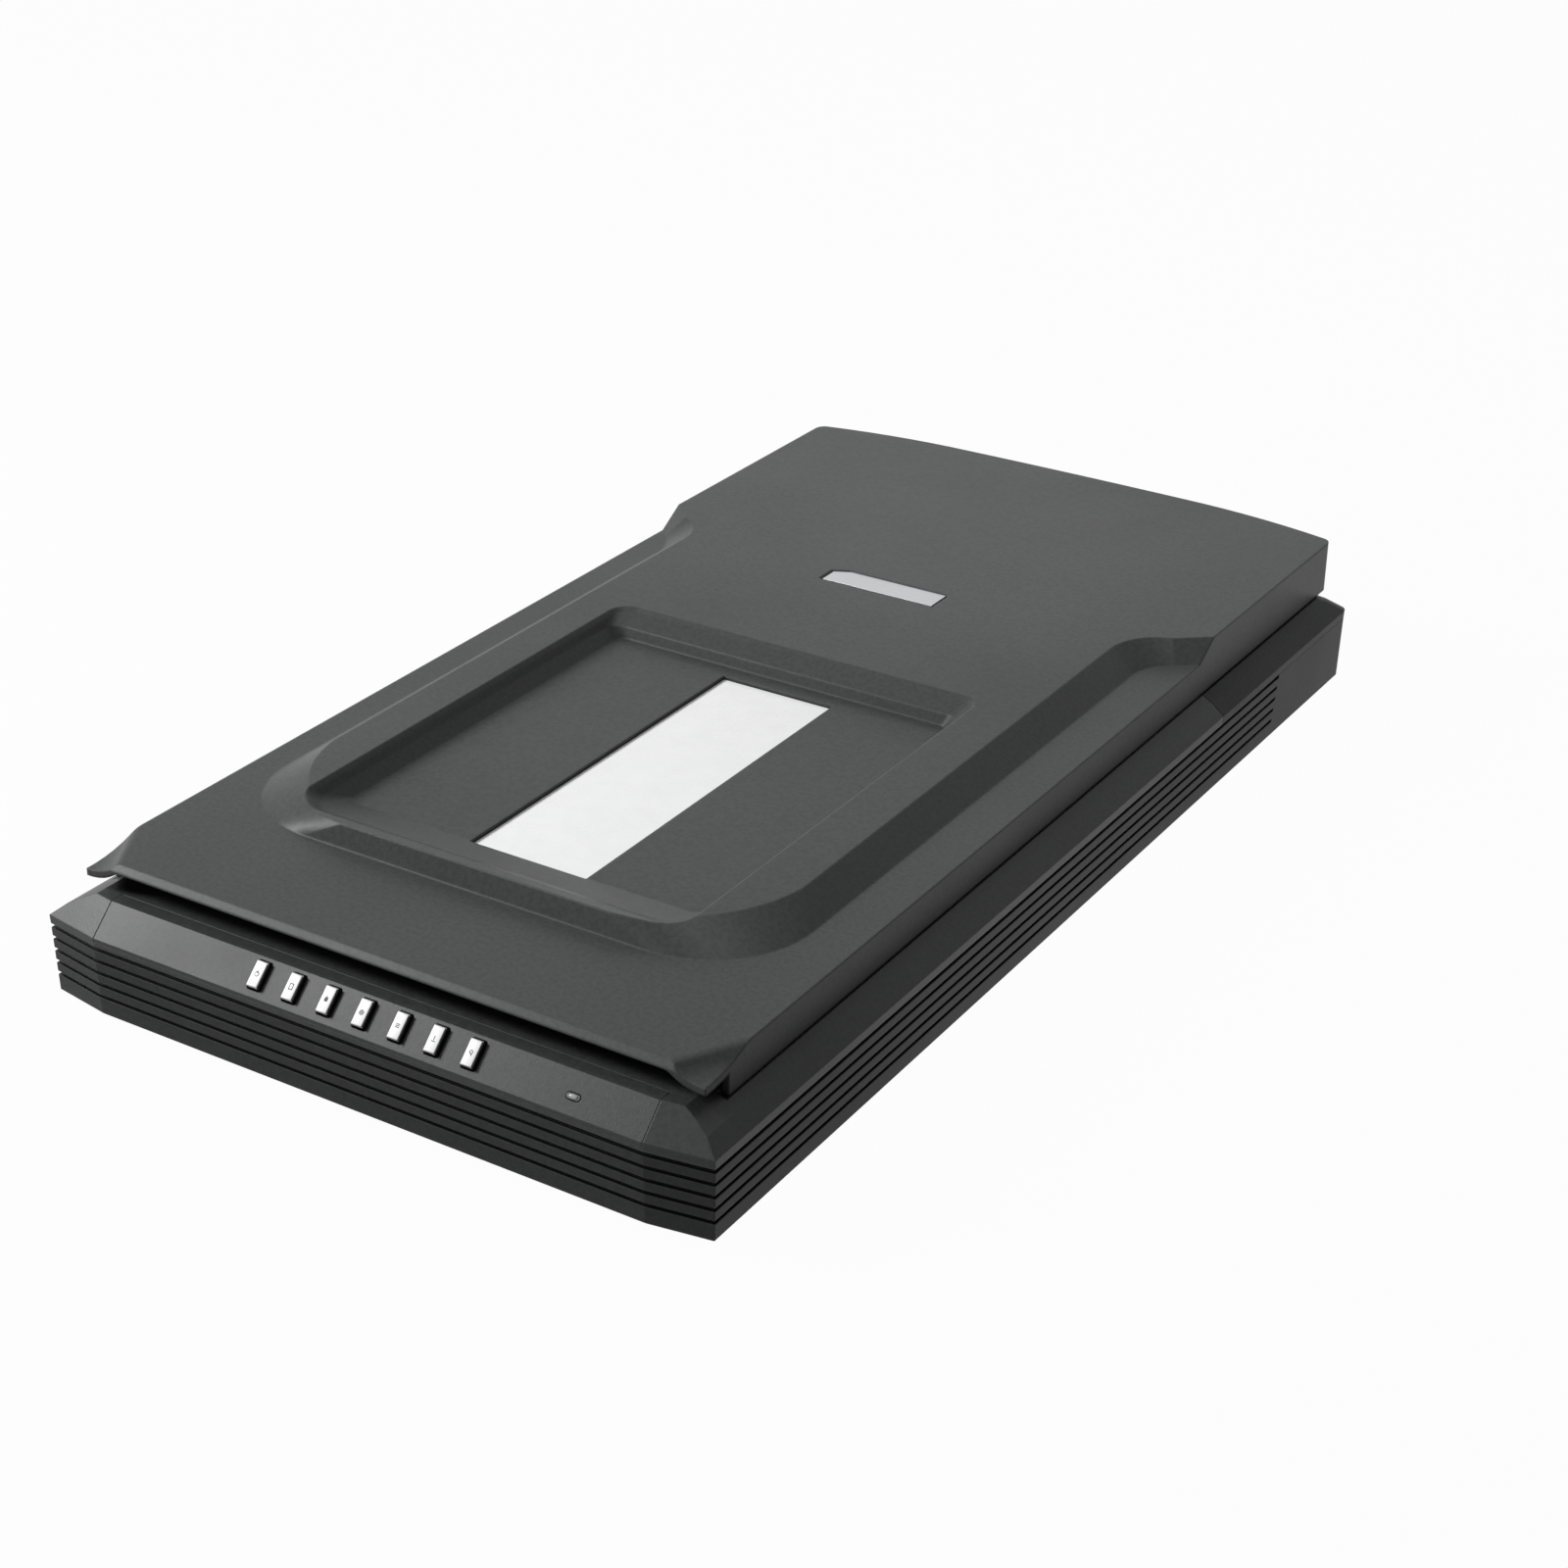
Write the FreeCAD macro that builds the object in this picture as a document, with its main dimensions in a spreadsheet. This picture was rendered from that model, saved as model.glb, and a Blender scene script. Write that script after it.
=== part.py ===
import FreeCAD, Part
import math
import os
import re
import Sketcher
from FreeCAD import Matrix, Placement, Rotation, Vector

# Flatbed scanner, 248 x 457 x 57 mm. The origin is on the floor under the middle of the footprint,
# +X points to the user's right, +Y to the back and +Z up. Sizes named *_from_front are measured
# back from the front lip, and those named *_from_back forward from the rearmost line.

doc = FreeCAD.newDocument("FlatbedScanner")
sheet = doc.addObject("Spreadsheet::Sheet", "Dims")

DRIVING_SIZES = {
    # overall
    "width": 248.0,
    "depth": 457.0,
    "height": 57.0,
    # base shell
    "wall": 2.4,
    "case_bottom": 3.2,
    "parting_height": 27.8,
    "parting_gap": 0.12,
    "lip_height": 30.9,
    "deck_height": 39.7,
    "front_slope_run": 9.3,
    "case_draft": 0.6,
    "case_foot_bevel": 0.7,
    "corner_inset": 21.7,
    "corner_sweep": 3.5,
    "back_bow": 8.2,
    "back_corner_radius": 4.5,
    "rebate_height": 37.0,
    "seam_gap": 0.3,
    "side_seam_from_front": 334.0,
    "rear_seam_from_front": 361.0,
    "rear_deck_height": 33.5,
    "rear_deck_length": 21.0,
    "rear_deck_inset": 18.0,
    # grooves round the case
    "groove_height": 1.35,
    "groove_depth": 1.1,
    "groove_pitch": 4.27,
    "groove_end_from_front": 384.0,
    # control panel and buttons
    "panel_clearance": 0.2,
    "panel_depth": 14.0,
    "panel_thickness": 2.2,
    "button_width": 4.5,
    "button_length": 8.6,
    "button_gap": 0.5,
    "button_proud": 1.5,
    "button_pitch": 13.3,
    "button_row_centre": 0.9,
    "button_on_slope": 6.9,
    "button_travel": 0.7,
    "button_flange": 0.9,
    "light_x": 76.4,
    "light_length": 4.6,
    "light_width": 1.9,
    "light_on_slope": 5.4,
    "board_under_panel": 6.4,
    # glass
    "glass_thickness": 3.0,
    "glass_lip": 1.3,
    "glass_overlap": 3.0,
    "glass_side_margin": 17.5,
    "window_from_front": 50.0,
    "window_length": 300.0,
    # lid
    "lid_inset": 9.1,
    "lid_front_from_front": 12.5,
    "lid_skin": 2.4,
    "lid_gap": 0.5,
    "lid_front_bevel": 2.0,
    "lid_from_back": 0.4,
    "plateau_rise": 6.9,
    "skirt_from_front": 24.5,
    "kink_from_front": 37.5,
    "ear_inset": 14.1,
    "ear_drop": 4.1,
    "plateau_left": 104.0,
    "plateau_right": 98.5,
    "plateau_side_run": 10.3,
    "plateau_from_front": 59.5,
    "plateau_front_run": 3.0,
    "step_from_front": 329.9,
    "step_run": 11.4,
    "tray_left": 78.7,
    "tray_right": 70.6,
    "tray_side_run": 7.0,
    "tray_from_front": 62.6,
    "tray_front_run": 24.2,
    "tray_end_from_front": 250.0,
    "tray_back_run": 10.9,
    "tray_ledge_run": 8.7,
    "tray_ledge_drop": 3.0,
    "tray_depth": 7.7,
    "light_window_width": 44.0,
    "light_window_from_front": 86.3,
    "light_window_length": 145.4,
    "light_window_step": 1.2,
    "nameplate_from_front": 315.6,
    "nameplate_left": 29.6,
    "nameplate_right": 16.6,
    "nameplate_width": 11.0,
    "nameplate_slot": 1.0,
    "pad_thickness": 1.7,
    "inner_panel_thickness": 1.6,
    # hinge
    "hinge_x": 64.0,
    "hinge_from_back": 6.0,
    "hinge_height": 43.0,
    "hinge_pin_radius": 1.5,
    "knuckle_radius": 4.0,
    "post_width": 26.0,
    "post_thickness": 7.0,
    "post_clearance": 0.3,
    "sleeve_wall": 1.3,
    "post_foot": 9.5,
    # carriage and drive
    "carriage_inset": 19.0,
    "carriage_length": 62.0,
    "carriage_from_front": 52.0,
    "carriage_bottom": 14.8,
    "carriage_under_glass": 1.2,
    "rod_x": 30.0,
    "rod_radius": 3.0,
    "rod_height": 11.0,
    "running_clearance": 0.05,
    "belt_radius": 6.0,
    "belt_thickness": 1.0,
    "belt_above_floor": 2.4,
    "belt_width": 5.0,
    "idler_from_front": 21.0,
    "drive_from_front": 404.0,
    "gear_module": 0.8,
    "drive_teeth": 48.0,
    "pinion_teeth": 16.0,
    "gear_thickness": 2.5,
    "motor_radius": 17.5,
    "motor_height": 14.6,
    "gear_clearance": 0.9,
    "bracket_thickness": 1.2,
    # electronics, fasteners and feet
    "main_board_height": 10.0,
    "board_thickness": 1.6,
    "screw_radius": 1.45,
    "screw_inset": 10.0,
    "foot_radius": 7.0,
}
for row, (alias, value) in enumerate(DRIVING_SIZES.items(), 1):
    sheet.set(f"A{row}", alias)
    sheet.set(f"B{row}", str(value))
    sheet.setAlias(f"B{row}", alias)
doc.recompute()

subparts = {}


# ---------------------------------------------------------------- reading sizes

def dim(alias):
    """The value of a size in the sheet."""
    return float(sheet.get(alias))


def linked(text):
    """An expression with every size name pointed at the sheet."""
    return re.sub(r"\b(?!sin|cos|tan)([a-z]+(?:_[a-z]+)*)\b", r"Dims.\1", text)


def from_front(alias):
    """The Y of a size measured back from the front lip."""
    return dim(alias) - dim("depth") / 2


def bind(obj, **expressions):
    """Bind properties of an object to expressions in the sheet's sizes."""
    for name, text in expressions.items():
        obj.setExpression(name, linked(text))


def place(obj, x_text, y_text, z_text):
    """Bind an object's position."""
    for axis, text in zip("xyz", (x_text, y_text, z_text)):
        obj.setExpression(f"Placement.Base.{axis}", linked(text))


def named(obj, label):
    """Register an object as the sub-part called label."""
    obj.Label = label
    subparts[label] = obj
    return obj


# ---------------------------------------------------------------- small building blocks

def block(name, size, corner):
    """A Part::Box whose three sizes and corner are expressions."""
    solid = doc.addObject("Part::Box", name)
    bind(solid, Length=size[0], Width=size[1], Height=size[2])
    place(solid, *corner)
    return solid


def rod(name, radius, length, start, direction="z"):
    """A Part::Cylinder from a start point along x, y or z."""
    solid = doc.addObject("Part::Cylinder", name)
    bind(solid, Radius=radius, Height=length)
    turns = {"x": Rotation(Vector(0, 1, 0), 90), "y": Rotation(Vector(1, 0, 0), -90), "z": Rotation()}
    solid.Placement = Placement(Vector(), turns[direction])
    place(solid, *start)
    return solid


def feature(label, shape):
    """A Part::Feature holding a finished shape."""
    solid = doc.addObject("Part::Feature", label)
    solid.Shape = shape
    return named(solid, label)


def plane_of(body, role):
    """One of a body's origin planes."""
    return next(item for item in body.Origin.OriginFeatures if item.Role == role)


def centred_rectangle(body, name, width, height, role="XY_Plane", offset="0"):
    """A sketch on an origin plane holding a rectangle about the origin."""
    sketch = body.newObject("Sketcher::SketchObject", name)
    sketch.AttachmentSupport = (plane_of(body, role), [""])
    sketch.MapMode = "FlatFace"
    corners = [Vector(-2, -1, 0), Vector(2, -1, 0), Vector(2, 1, 0), Vector(-2, 1, 0)]
    for i in range(4):
        sketch.addGeometry(Part.LineSegment(corners[i], corners[(i + 1) % 4]), False)
    for i in range(4):
        sketch.addConstraint(Sketcher.Constraint("Coincident", i, 2, (i + 1) % 4, 1))
    sketch.addConstraint(Sketcher.Constraint("Horizontal", 0))
    sketch.addConstraint(Sketcher.Constraint("Vertical", 1))
    sketch.addConstraint(Sketcher.Constraint("Horizontal", 2))
    sketch.addConstraint(Sketcher.Constraint("Vertical", 3))
    sketch.addConstraint(Sketcher.Constraint("Symmetric", 0, 1, 1, 2, -1, 1))
    wide = sketch.addConstraint(Sketcher.Constraint("Distance", 0, 4.0))
    tall = sketch.addConstraint(Sketcher.Constraint("Distance", 1, 2.0))
    sketch.setExpression(f"Constraints[{wide}]", linked(width))
    sketch.setExpression(f"Constraints[{tall}]", linked(height))
    sketch.setExpression("AttachmentOffset.Base.z", linked(offset))
    return sketch


def pad(body, sketch, length):
    """A pad of a sketch along its normal."""
    solid = body.newObject("PartDesign::Pad", f"{body.Name}_pad")
    solid.Profile = sketch
    solid.Type = 0
    solid.setExpression("Length", linked(length))
    sketch.Visibility = False
    return solid


def plate(label, width, depth_text, thickness, centre, rounding=None):
    """A PartDesign plate, its corners rounded if a radius is given."""
    body = doc.addObject("PartDesign::Body", label)
    base = pad(body, centred_rectangle(body, f"{label}_outline", width, depth_text), thickness)
    if rounding:
        doc.recompute()
        upright = [f"Edge{n}" for n, edge in enumerate(base.Shape.Edges, 1)
                   if abs(edge.tangentAt(edge.FirstParameter).z) > 0.99]
        fillet = body.newObject("PartDesign::Fillet", f"{label}_corners")
        fillet.Base = (base, upright)
        fillet.setExpression("Radius", linked(rounding))
    place(body, *centre)
    return named(body, label)


# ---------------------------------------------------------------- outlines

def outline_side(points, arcs, z, side):
    """The edges of one side of an outline, from its front point to its back point.

    points are (x, y) corners; arcs maps the index of a stretch's first point to a point on its arc.
    """
    corners = [Vector(side * x, y, z) for x, y in points]
    edges = []
    for i in range(len(corners) - 1):
        if i in arcs:
            x, y = arcs[i]
            edges.append(Part.Arc(corners[i], Vector(side * x, y, z), corners[i + 1]).toShape())
        else:
            edges.append(Part.LineSegment(corners[i], corners[i + 1]).toShape())
    return edges


def two_sided_outline(right, left, z):
    """A closed wire from a right and a left side, each a list of points and their arcs."""
    edges = outline_side(*right, z, 1)
    front = Part.LineSegment(Vector(-left[0][0][0], left[0][0][1], z), Vector(*right[0][0], z))
    edges.append(front.toShape())
    return Part.Wire(Part.__sortEdges__(edges + outline_side(*left, z, -1)))


def with_back(points, arcs, half, middle_y):
    """A side of an outline finished with the bowed back edge and its rounded corner."""
    radius = dim("back_corner_radius")
    bow = dim("back_bow")
    knee_y = middle_y - bow
    first = len(points)
    points = points + [(half, knee_y - 0.93 * radius), (half - 0.62 * radius, knee_y),
                       (0.5 * half, middle_y - 0.08 * bow), (0.0, middle_y)]
    arcs = dict(arcs)
    arcs[first] = (half - 0.18 * radius, knee_y - 0.36 * radius)
    arcs[first + 1] = (0.78 * half, middle_y - 0.46 * bow)
    arcs[first + 2] = (0.25 * half, middle_y - 0.02 * bow)
    return points, arcs


def base_outline(z, side_in=0.0, front_in=0.0, back_in=0.0):
    """The base's outline at a height, drawn in by given amounts."""
    half = HALF - side_in
    front = FRONT + front_in
    straight = HALF - dim("corner_inset")
    sweep = dim("corner_sweep") * (half - straight) / dim("corner_inset")
    side = with_back([(straight, front), (half, front + sweep)], {}, half, BACK - back_in)
    return two_sided_outline(side, side, z)


def lid_outline(z, inset=0.0):
    """The lid's full outline at a height."""
    half = LID_SIDE - inset
    front = from_front("lid_front_from_front") + inset
    side = with_back([(half, front)], {}, half, BACK - dim("lid_from_back") - inset)
    return two_sided_outline(side, side, z)


def plateau_side(size, level, inset):
    """One side of the plateau and rear block: round the front corner, back, and out to the rim."""
    wall_x = dim(size) - level * dim("plateau_side_run") - inset
    front = from_front("plateau_from_front") + level * dim("plateau_front_run") + inset
    step = from_front("step_from_front") + level * dim("step_run") + inset
    half = LID_SIDE - inset
    reach = 36.0 + 4.0 * level
    lean = 0.29 + 0.07 * level
    points = [(wall_x - reach, front), (wall_x, front + reach + 4.0 * level),
              (wall_x, step - 24.0 - 6.0 * level), (0.45 * wall_x + 0.55 * half, step - 5.4 - 4.0 * level),
              (half, step)]
    arcs = {0: (wall_x - lean * reach, front + lean * reach),
            2: (0.84 * wall_x + 0.16 * half, step - 11.5 - 5.0 * level)}
    return with_back(points, arcs, half, BACK - dim("lid_from_back") - inset)


def plateau_outline(z, level, inset=0.0):
    """The plateau and rear block at level 0 (foot) or 1 (top); its left side is the wider."""
    right = plateau_side("plateau_right", level, inset)
    return two_sided_outline(right, plateau_side("plateau_left", level, inset), z)


def tray_side(size, fall, back_fall, grow):
    """One side of the sunk tray; fall and back_fall run from 0 at the crest to 1 at the floor."""
    half = dim(size) - fall * dim("tray_side_run") + grow
    front = from_front("tray_from_front") + fall * dim("tray_front_run") - grow
    back = from_front("tray_end_from_front") - back_fall * dim("tray_back_run") + grow
    front_reach = 11.5 - 8.0 * fall + grow
    back_reach = 7.5 - 4.5 * fall + grow
    points = [(half - front_reach, front), (half, front + front_reach), (half, back - back_reach),
              (half - back_reach, back), (0.0, back)]
    arcs = {0: (half - 0.3 * front_reach, front + 0.3 * front_reach),
            2: (half - 0.29 * back_reach, back - 0.29 * back_reach)}
    return points, arcs


def tray_wires(grow=0.0, above=0.0):
    """The tray's outlines from its floor, up over the ledge in its back wall, to its crest."""
    depth = dim("tray_depth") + grow
    ledge = dim("tray_ledge_drop")
    run = dim("tray_ledge_run") / dim("tray_back_run")
    levels = [(depth, 1.0, 1.0), (ledge + 0.9, ledge / depth, run + 0.04), (ledge - 1.7, 0.5 * ledge / depth, 0.16),
              (-above, 0.0, 0.0)]
    wires = []
    for drop, fall, back_fall in levels:
        right = tray_side("tray_right", fall, back_fall, grow)
        left = tray_side("tray_left", fall, back_fall, grow)
        wires.append(two_sided_outline(right, left, dim("height") - drop))
    return wires


def loft(wires):
    """A ruled solid through closed wires."""
    return Part.makeLoft(wires, True, True)


def slab(wire, height):
    """A wire filled and raised."""
    return Part.Face(wire).extrude(Vector(0, 0, height))


def cuboid(x_low, x_high, y_low, y_high, z_low, z_high):
    """A box between six limits."""
    corner = Vector(x_low, y_low, z_low)
    return Part.makeBox(x_high - x_low, y_high - y_low, z_high - z_low, corner)


def profile_along_x(points, x_low, x_high):
    """A (y, z) polygon pulled along X."""
    corners = [Vector(x_low, y, z) for y, z in points]
    wire = Part.makePolygon(corners + corners[:1])
    return Part.Face(wire).extrude(Vector(x_high - x_low, 0, 0))


def upright(radius, x, y, z_low, z_high):
    """A vertical cylinder."""
    return Part.makeCylinder(radius, z_high - z_low, Vector(x, y, z_low))


# ---------------------------------------------------------------- places that several pieces share

FRONT = -dim("depth") / 2
BACK = dim("depth") / 2
HALF = dim("width") / 2
FLOOR = dim("case_bottom") + dim("wall")
SLOPE_ANGLE = math.degrees(math.atan2(dim("deck_height") - dim("lip_height"), dim("front_slope_run")))
GLASS_TOP = dim("deck_height") - dim("glass_lip")
LID_SIDE = HALF - dim("lid_inset")
RIM_HEIGHT = dim("height") - dim("plateau_rise")
SKIN_UNDER = RIM_HEIGHT - dim("lid_skin")
PAD_TOP = dim("deck_height") + dim("panel_clearance") + dim("pad_thickness")
PANEL_TOP = PAD_TOP + dim("inner_panel_thickness")
TRAY_FLOOR = dim("height") - dim("tray_depth")
HINGE_Y = BACK - dim("hinge_from_back")
POST_Y = HINGE_Y - 0.5 - dim("post_thickness")
BELT_LOW = FLOOR + dim("belt_above_floor")
GEAR_LOW = BELT_LOW + dim("belt_width") + 1.0
BRACKET_LOW = GEAR_LOW + dim("gear_thickness") + dim("gear_clearance")
SCREW_PLACES = [(side * (HALF - dim("screw_inset")), y) for side in (-1, 1)
                for y in (FRONT + 30.0, from_front("side_seam_from_front") - 14.0, BACK - 32.0)]
BUTTON_COUNT = 7


def button_x(index):
    """The middle of a button, counted from the left."""
    return dim("button_row_centre") + (index - (BUTTON_COUNT - 1) / 2) * dim("button_pitch")


def on_slope(x, along, out):
    """A point on the front slope: along it from the lip, and out along its normal."""
    rise = math.radians(SLOPE_ANGLE)
    y = FRONT + along * math.cos(rise) - out * math.sin(rise)
    z = dim("lip_height") + along * math.sin(rise) + out * math.cos(rise)
    return Vector(x, y, z)


def slope_placement(x, along, out):
    """A placement whose Z axis is the front slope's normal."""
    return Placement(on_slope(x, along, out), Rotation(Vector(1, 0, 0), SLOPE_ANGLE))


# ---------------------------------------------------------------- base shells

def frame_levels(inset):
    """Wires up the top frame's outside, or its inside when an inset is given."""
    lip = dim("lip_height")
    rise = dim("deck_height") - lip
    sides = [(0.0, 0.0), (5.0, 0.466), (9.0, 0.716), (12.0, 0.875), (14.5, 1.0)]
    if inset:
        sides = [(0.0, 0.0), (5.6, 0.42)]
    bottom = dim("parting_height") + dim("parting_gap")
    flare = 0.12
    wires = [base_outline(bottom, flare + inset, flare + inset, flare + inset)]
    for side_in, share in sides:
        front_in = share * dim("front_slope_run") + inset * (1 + 0.4 * share)
        wires.append(base_outline(lip + share * rise, side_in + inset, front_in, side_in + inset))
    return wires


def deck_rebate(z_low):
    """The step beside the deck that the lid's skirts drop into."""
    inner = LID_SIDE - dim("lid_skin") - 0.6
    outer = LID_SIDE + 0.4
    front = from_front("skirt_from_front") - 2.0
    return [cuboid(min(s * inner, s * outer), max(s * inner, s * outer), front, BACK, z_low,
                   dim("height")) for s in (-1, 1)]


def upper_shell():
    """The whole upper shell before it is split into top frame and rear cover."""
    deck = dim("deck_height")
    outside = loft(frame_levels(0.0)).cut(Part.Compound(deck_rebate(dim("rebate_height"))))
    rear_half = HALF - dim("rear_deck_inset")
    rear_front = BACK - dim("rear_deck_length")
    outside = outside.cut(cuboid(-rear_half, rear_half, rear_front, BACK + 5, dim("rear_deck_height"), deck + 5))
    glass_half = HALF - dim("glass_side_margin") + dim("glass_overlap") + 0.2
    inside = loft(frame_levels(dim("wall")))
    ceiling = dim("deck_height") - dim("wall")
    inside = inside.fuse(cuboid(-glass_half, glass_half, FRONT + panel_back() + 2.4, rear_front - dim("wall"),
                                dim("lip_height"), ceiling))
    inside = inside.cut(cuboid(-rear_half - dim("wall"), rear_half + dim("wall"), rear_front - dim("wall"),
                               BACK, dim("rear_deck_height") - dim("wall"), deck))
    shell = outside.cut(inside)
    return shell.fuse(parting_tongue())


def panel_back():
    """How far back the control panel reaches from the lip."""
    return dim("panel_depth") + dim("panel_clearance")


def parting_tongue():
    """The rib inside the upper shell that closes the parting line."""
    low = dim("parting_height") - 3.4
    height = dim("parting_gap") + 5.0
    outer = dim("wall") + 0.35
    ring = slab(base_outline(low, outer, outer, outer), height)
    root_z = dim("parting_height") + dim("parting_gap") + 0.4
    root = slab(base_outline(root_z, 1.2, 1.2, 1.2), low + height - root_z)
    hollow = slab(base_outline(low - 1, outer + 1.6, outer + 1.6, outer + 1.6), height + 2)
    return ring.fuse(root).cut(hollow)


def panel_profile(grow):
    """The control panel's section from the lip up the slope and back along the deck."""
    rise = math.radians(SLOPE_ANGLE)
    thickness = dim("panel_thickness") + grow
    lip = dim("lip_height")
    deck = dim("deck_height")
    bend = FRONT + dim("front_slope_run")
    inner_bend = bend + thickness * math.tan(rise / 2)
    foot_z = lip - 1.1 - grow
    foot_y = inner_bend - (deck - thickness - foot_z) / math.tan(rise)
    back = FRONT + dim("panel_depth") + grow
    return [(FRONT + 0.05, foot_z), (FRONT, lip), (bend, deck), (back, deck), (back, deck - thickness),
            (inner_bend, deck - thickness), (foot_y, foot_z)]


def panel_half():
    """Half the control panel's length, up to the seams."""
    return HALF - dim("corner_inset")


def rear_zone():
    """The space behind the seams: a back with two side arms."""
    arm_inner = LID_SIDE - dim("lid_skin") - 0.59
    back = cuboid(-HALF - 5, HALF + 5, from_front("rear_seam_from_front"), BACK + 5, 0, 80)
    arms = [cuboid(min(s * arm_inner, s * (HALF + 5)), max(s * arm_inner, s * (HALF + 5)),
                   from_front("side_seam_from_front"), BACK + 5, 0, 80) for s in (-1, 1)]
    return back.fuse(arms).removeSplitter()


def top_frame(shell):
    """The upper shell ahead of the seams, with its window and the place for the control panel."""
    zone = rear_zone()
    gap = dim("seam_gap")
    right_half = cuboid(0, HALF + 9, FRONT, BACK + 9, 0, 80)
    left_half = cuboid(-HALF - 9, 0, FRONT, BACK + 9, 0, 80)
    grown = zone.fuse([zone.translated(Vector(0, -gap, 0)),
                       zone.translated(Vector(-gap, 0, 0)).common(right_half),
                       zone.translated(Vector(gap, 0, 0)).common(left_half)])
    body = shell.cut(grown)
    half = HALF - dim("glass_side_margin")
    start = from_front("window_from_front")
    end = start + dim("window_length")
    lap = dim("glass_overlap")
    body = body.cut(cuboid(-half, half, start, end, 30, 80))
    body = body.cut(cuboid(-half - lap - 0.2, half + lap + 0.2, start - lap - 0.2, end + lap + 0.2, 30, GLASS_TOP))
    seat = profile_along_x(panel_profile(dim("panel_clearance")), -panel_half(), panel_half())
    wedge = profile_along_x([(FRONT - 2, dim("lip_height") - 1.3), (FRONT - 2, 80), (FRONT + panel_back(), 80),
                             (FRONT + panel_back(), dim("deck_height") - 1),
                             (FRONT + dim("front_slope_run"), dim("deck_height") - 1),
                             (FRONT + 0.4, dim("lip_height") - 1.3)], -panel_half(), panel_half())
    body = body.cut(seat).cut(wedge)
    button_well = cuboid(-panel_half(), panel_half(), FRONT + dim("wall") + 2.3, FRONT + panel_back() - 1.2,
                         dim("parting_height") - 8, dim("deck_height") - 1)
    body = body.cut(button_well)
    ahead = [place for place in SCREW_PLACES if place[1] < from_front("side_seam_from_front")]
    feature("top_frame", with_bosses(body, ahead).removeSplitter())


def with_bosses(body, places):
    """A shell with its screw bosses, each with a blind hole."""
    for x, y in places:
        body = body.fuse(upright(4.0, x, y, dim("parting_height") - 1.4, dim("rebate_height") - 2.0))
        body = body.cut(upright(dim("screw_radius") + 0.02, x, y, 0, dim("rebate_height") - 4.0))
    return body


def post_box(side, z_low, z_high, grow):
    """The space of one hinge post's column, grown all round."""
    half = dim("post_width") / 2 + grow
    x = side * dim("hinge_x")
    return cuboid(x - half, x + half, POST_Y - grow, POST_Y + dim("post_thickness") + grow, z_low, z_high)


def rear_cover(shell):
    """The cover behind the seams, with the two sleeves that the hinge posts slide in."""
    body = shell.common(rear_zone())
    for side in (-1, 1):
        body = body.fuse(post_box(side, dim("post_foot") - 1.0, dim("rear_deck_height") - 0.5,
                                  dim("post_clearance") + dim("sleeve_wall")))
    for side in (-1, 1):
        body = body.cut(post_box(side, 0, 80, dim("post_clearance")))
    behind = [place for place in SCREW_PLACES if place[1] > from_front("side_seam_from_front")]
    feature("rear_cover", with_bosses(body, behind).removeSplitter())


def case_outside():
    """The bottom case's outer volume, with a small bevel round its foot."""
    low = dim("case_bottom")
    draft = dim("case_draft")
    bevel = dim("case_foot_bevel")
    foot = draft + bevel
    levels = [base_outline(low, foot, foot, foot), base_outline(low + bevel, draft, draft, draft),
              base_outline(dim("parting_height"), 0.12, 0.12, 0.12)]
    return loft(levels)


def groove_ring(z_low):
    """The material that one groove takes from the front and the two sides."""
    share = (dim("parting_height") - z_low) / (dim("parting_height") - dim("case_bottom"))
    depth = dim("groove_depth") + share * dim("case_draft")
    keep = slab(base_outline(z_low - 1, depth, depth, depth), dim("groove_height") + 2)
    end = from_front("groove_end_from_front") - 4.0 * share
    return cuboid(-HALF - 5, HALF + 5, FRONT - 5, end, z_low, z_low + dim("groove_height")).cut(keep)


def socket_places():
    """Where the two sockets stand: their middles in X and their widths and heights."""
    return {"usb_socket": (-42.0, 12.0, 11.0), "dc_jack": (-101.0, 9.4, 11.0)}


def bottom_case():
    """The lower shell with its grooves, screw posts, board pillars and rod cradles."""
    wall = dim("wall") + dim("case_draft")
    inner_low = base_outline(FLOOR, wall, wall, wall)
    wall_top = dim("wall") + 0.12
    inner_high = base_outline(dim("parting_height") + 0.01, wall_top, wall_top, wall_top)
    body = case_outside().cut(loft([inner_low, inner_high]))
    for i in range(5):
        body = body.cut(groove_ring(dim("parting_height") - dim("groove_height") - i * dim("groove_pitch")))
    for x, y in SCREW_PLACES:
        body = body.fuse(upright(4.5, x, y, dim("case_bottom"), dim("parting_height") - 1.6))
        body = body.cut(upright(3.3, x, y, 0, 14.0))
        body = body.cut(upright(dim("screw_radius") + 0.1, x, y, 0, 60))
    board_top = dim("main_board_height")
    for x in (-104.0, -36.0):
        for y in (from_front("drive_from_front") - 9, BACK - 22):
            body = body.fuse(upright(2.6, x, y, FLOOR - 0.5, board_top))
    body = body.fuse(rod_cradles() + button_board_ribs() + [spring_hook()])
    for x, width, height in socket_places().values():
        z = board_top + dim("board_thickness")
        body = body.cut(cuboid(x - width / 2 - 0.3, x + width / 2 + 0.3, BACK - 20, BACK + 5, z - 0.3, z + height + 0.3))
    feature("bottom_case", body.removeSplitter())


def rod_ends():
    """The guide rod's front and rear ends in Y."""
    return FRONT + 12.0, from_front("drive_from_front") - 16.0


def rod_cradles():
    """Two blocks on the case floor that hold the guide rod's ends."""
    radius = dim("rod_radius")
    blocks = []
    for y in (rod_ends()[0], rod_ends()[1] - 6):
        cradle = cuboid(-dim("rod_x") - 8, -dim("rod_x") + 8, y, y + 6, FLOOR - 0.5, dim("rod_height"))
        bore = Part.makeCylinder(radius, 400, Vector(-dim("rod_x"), y - 1, dim("rod_height")), Vector(0, 1, 0))
        blocks.append(cradle.cut(bore))
    return blocks


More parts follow.
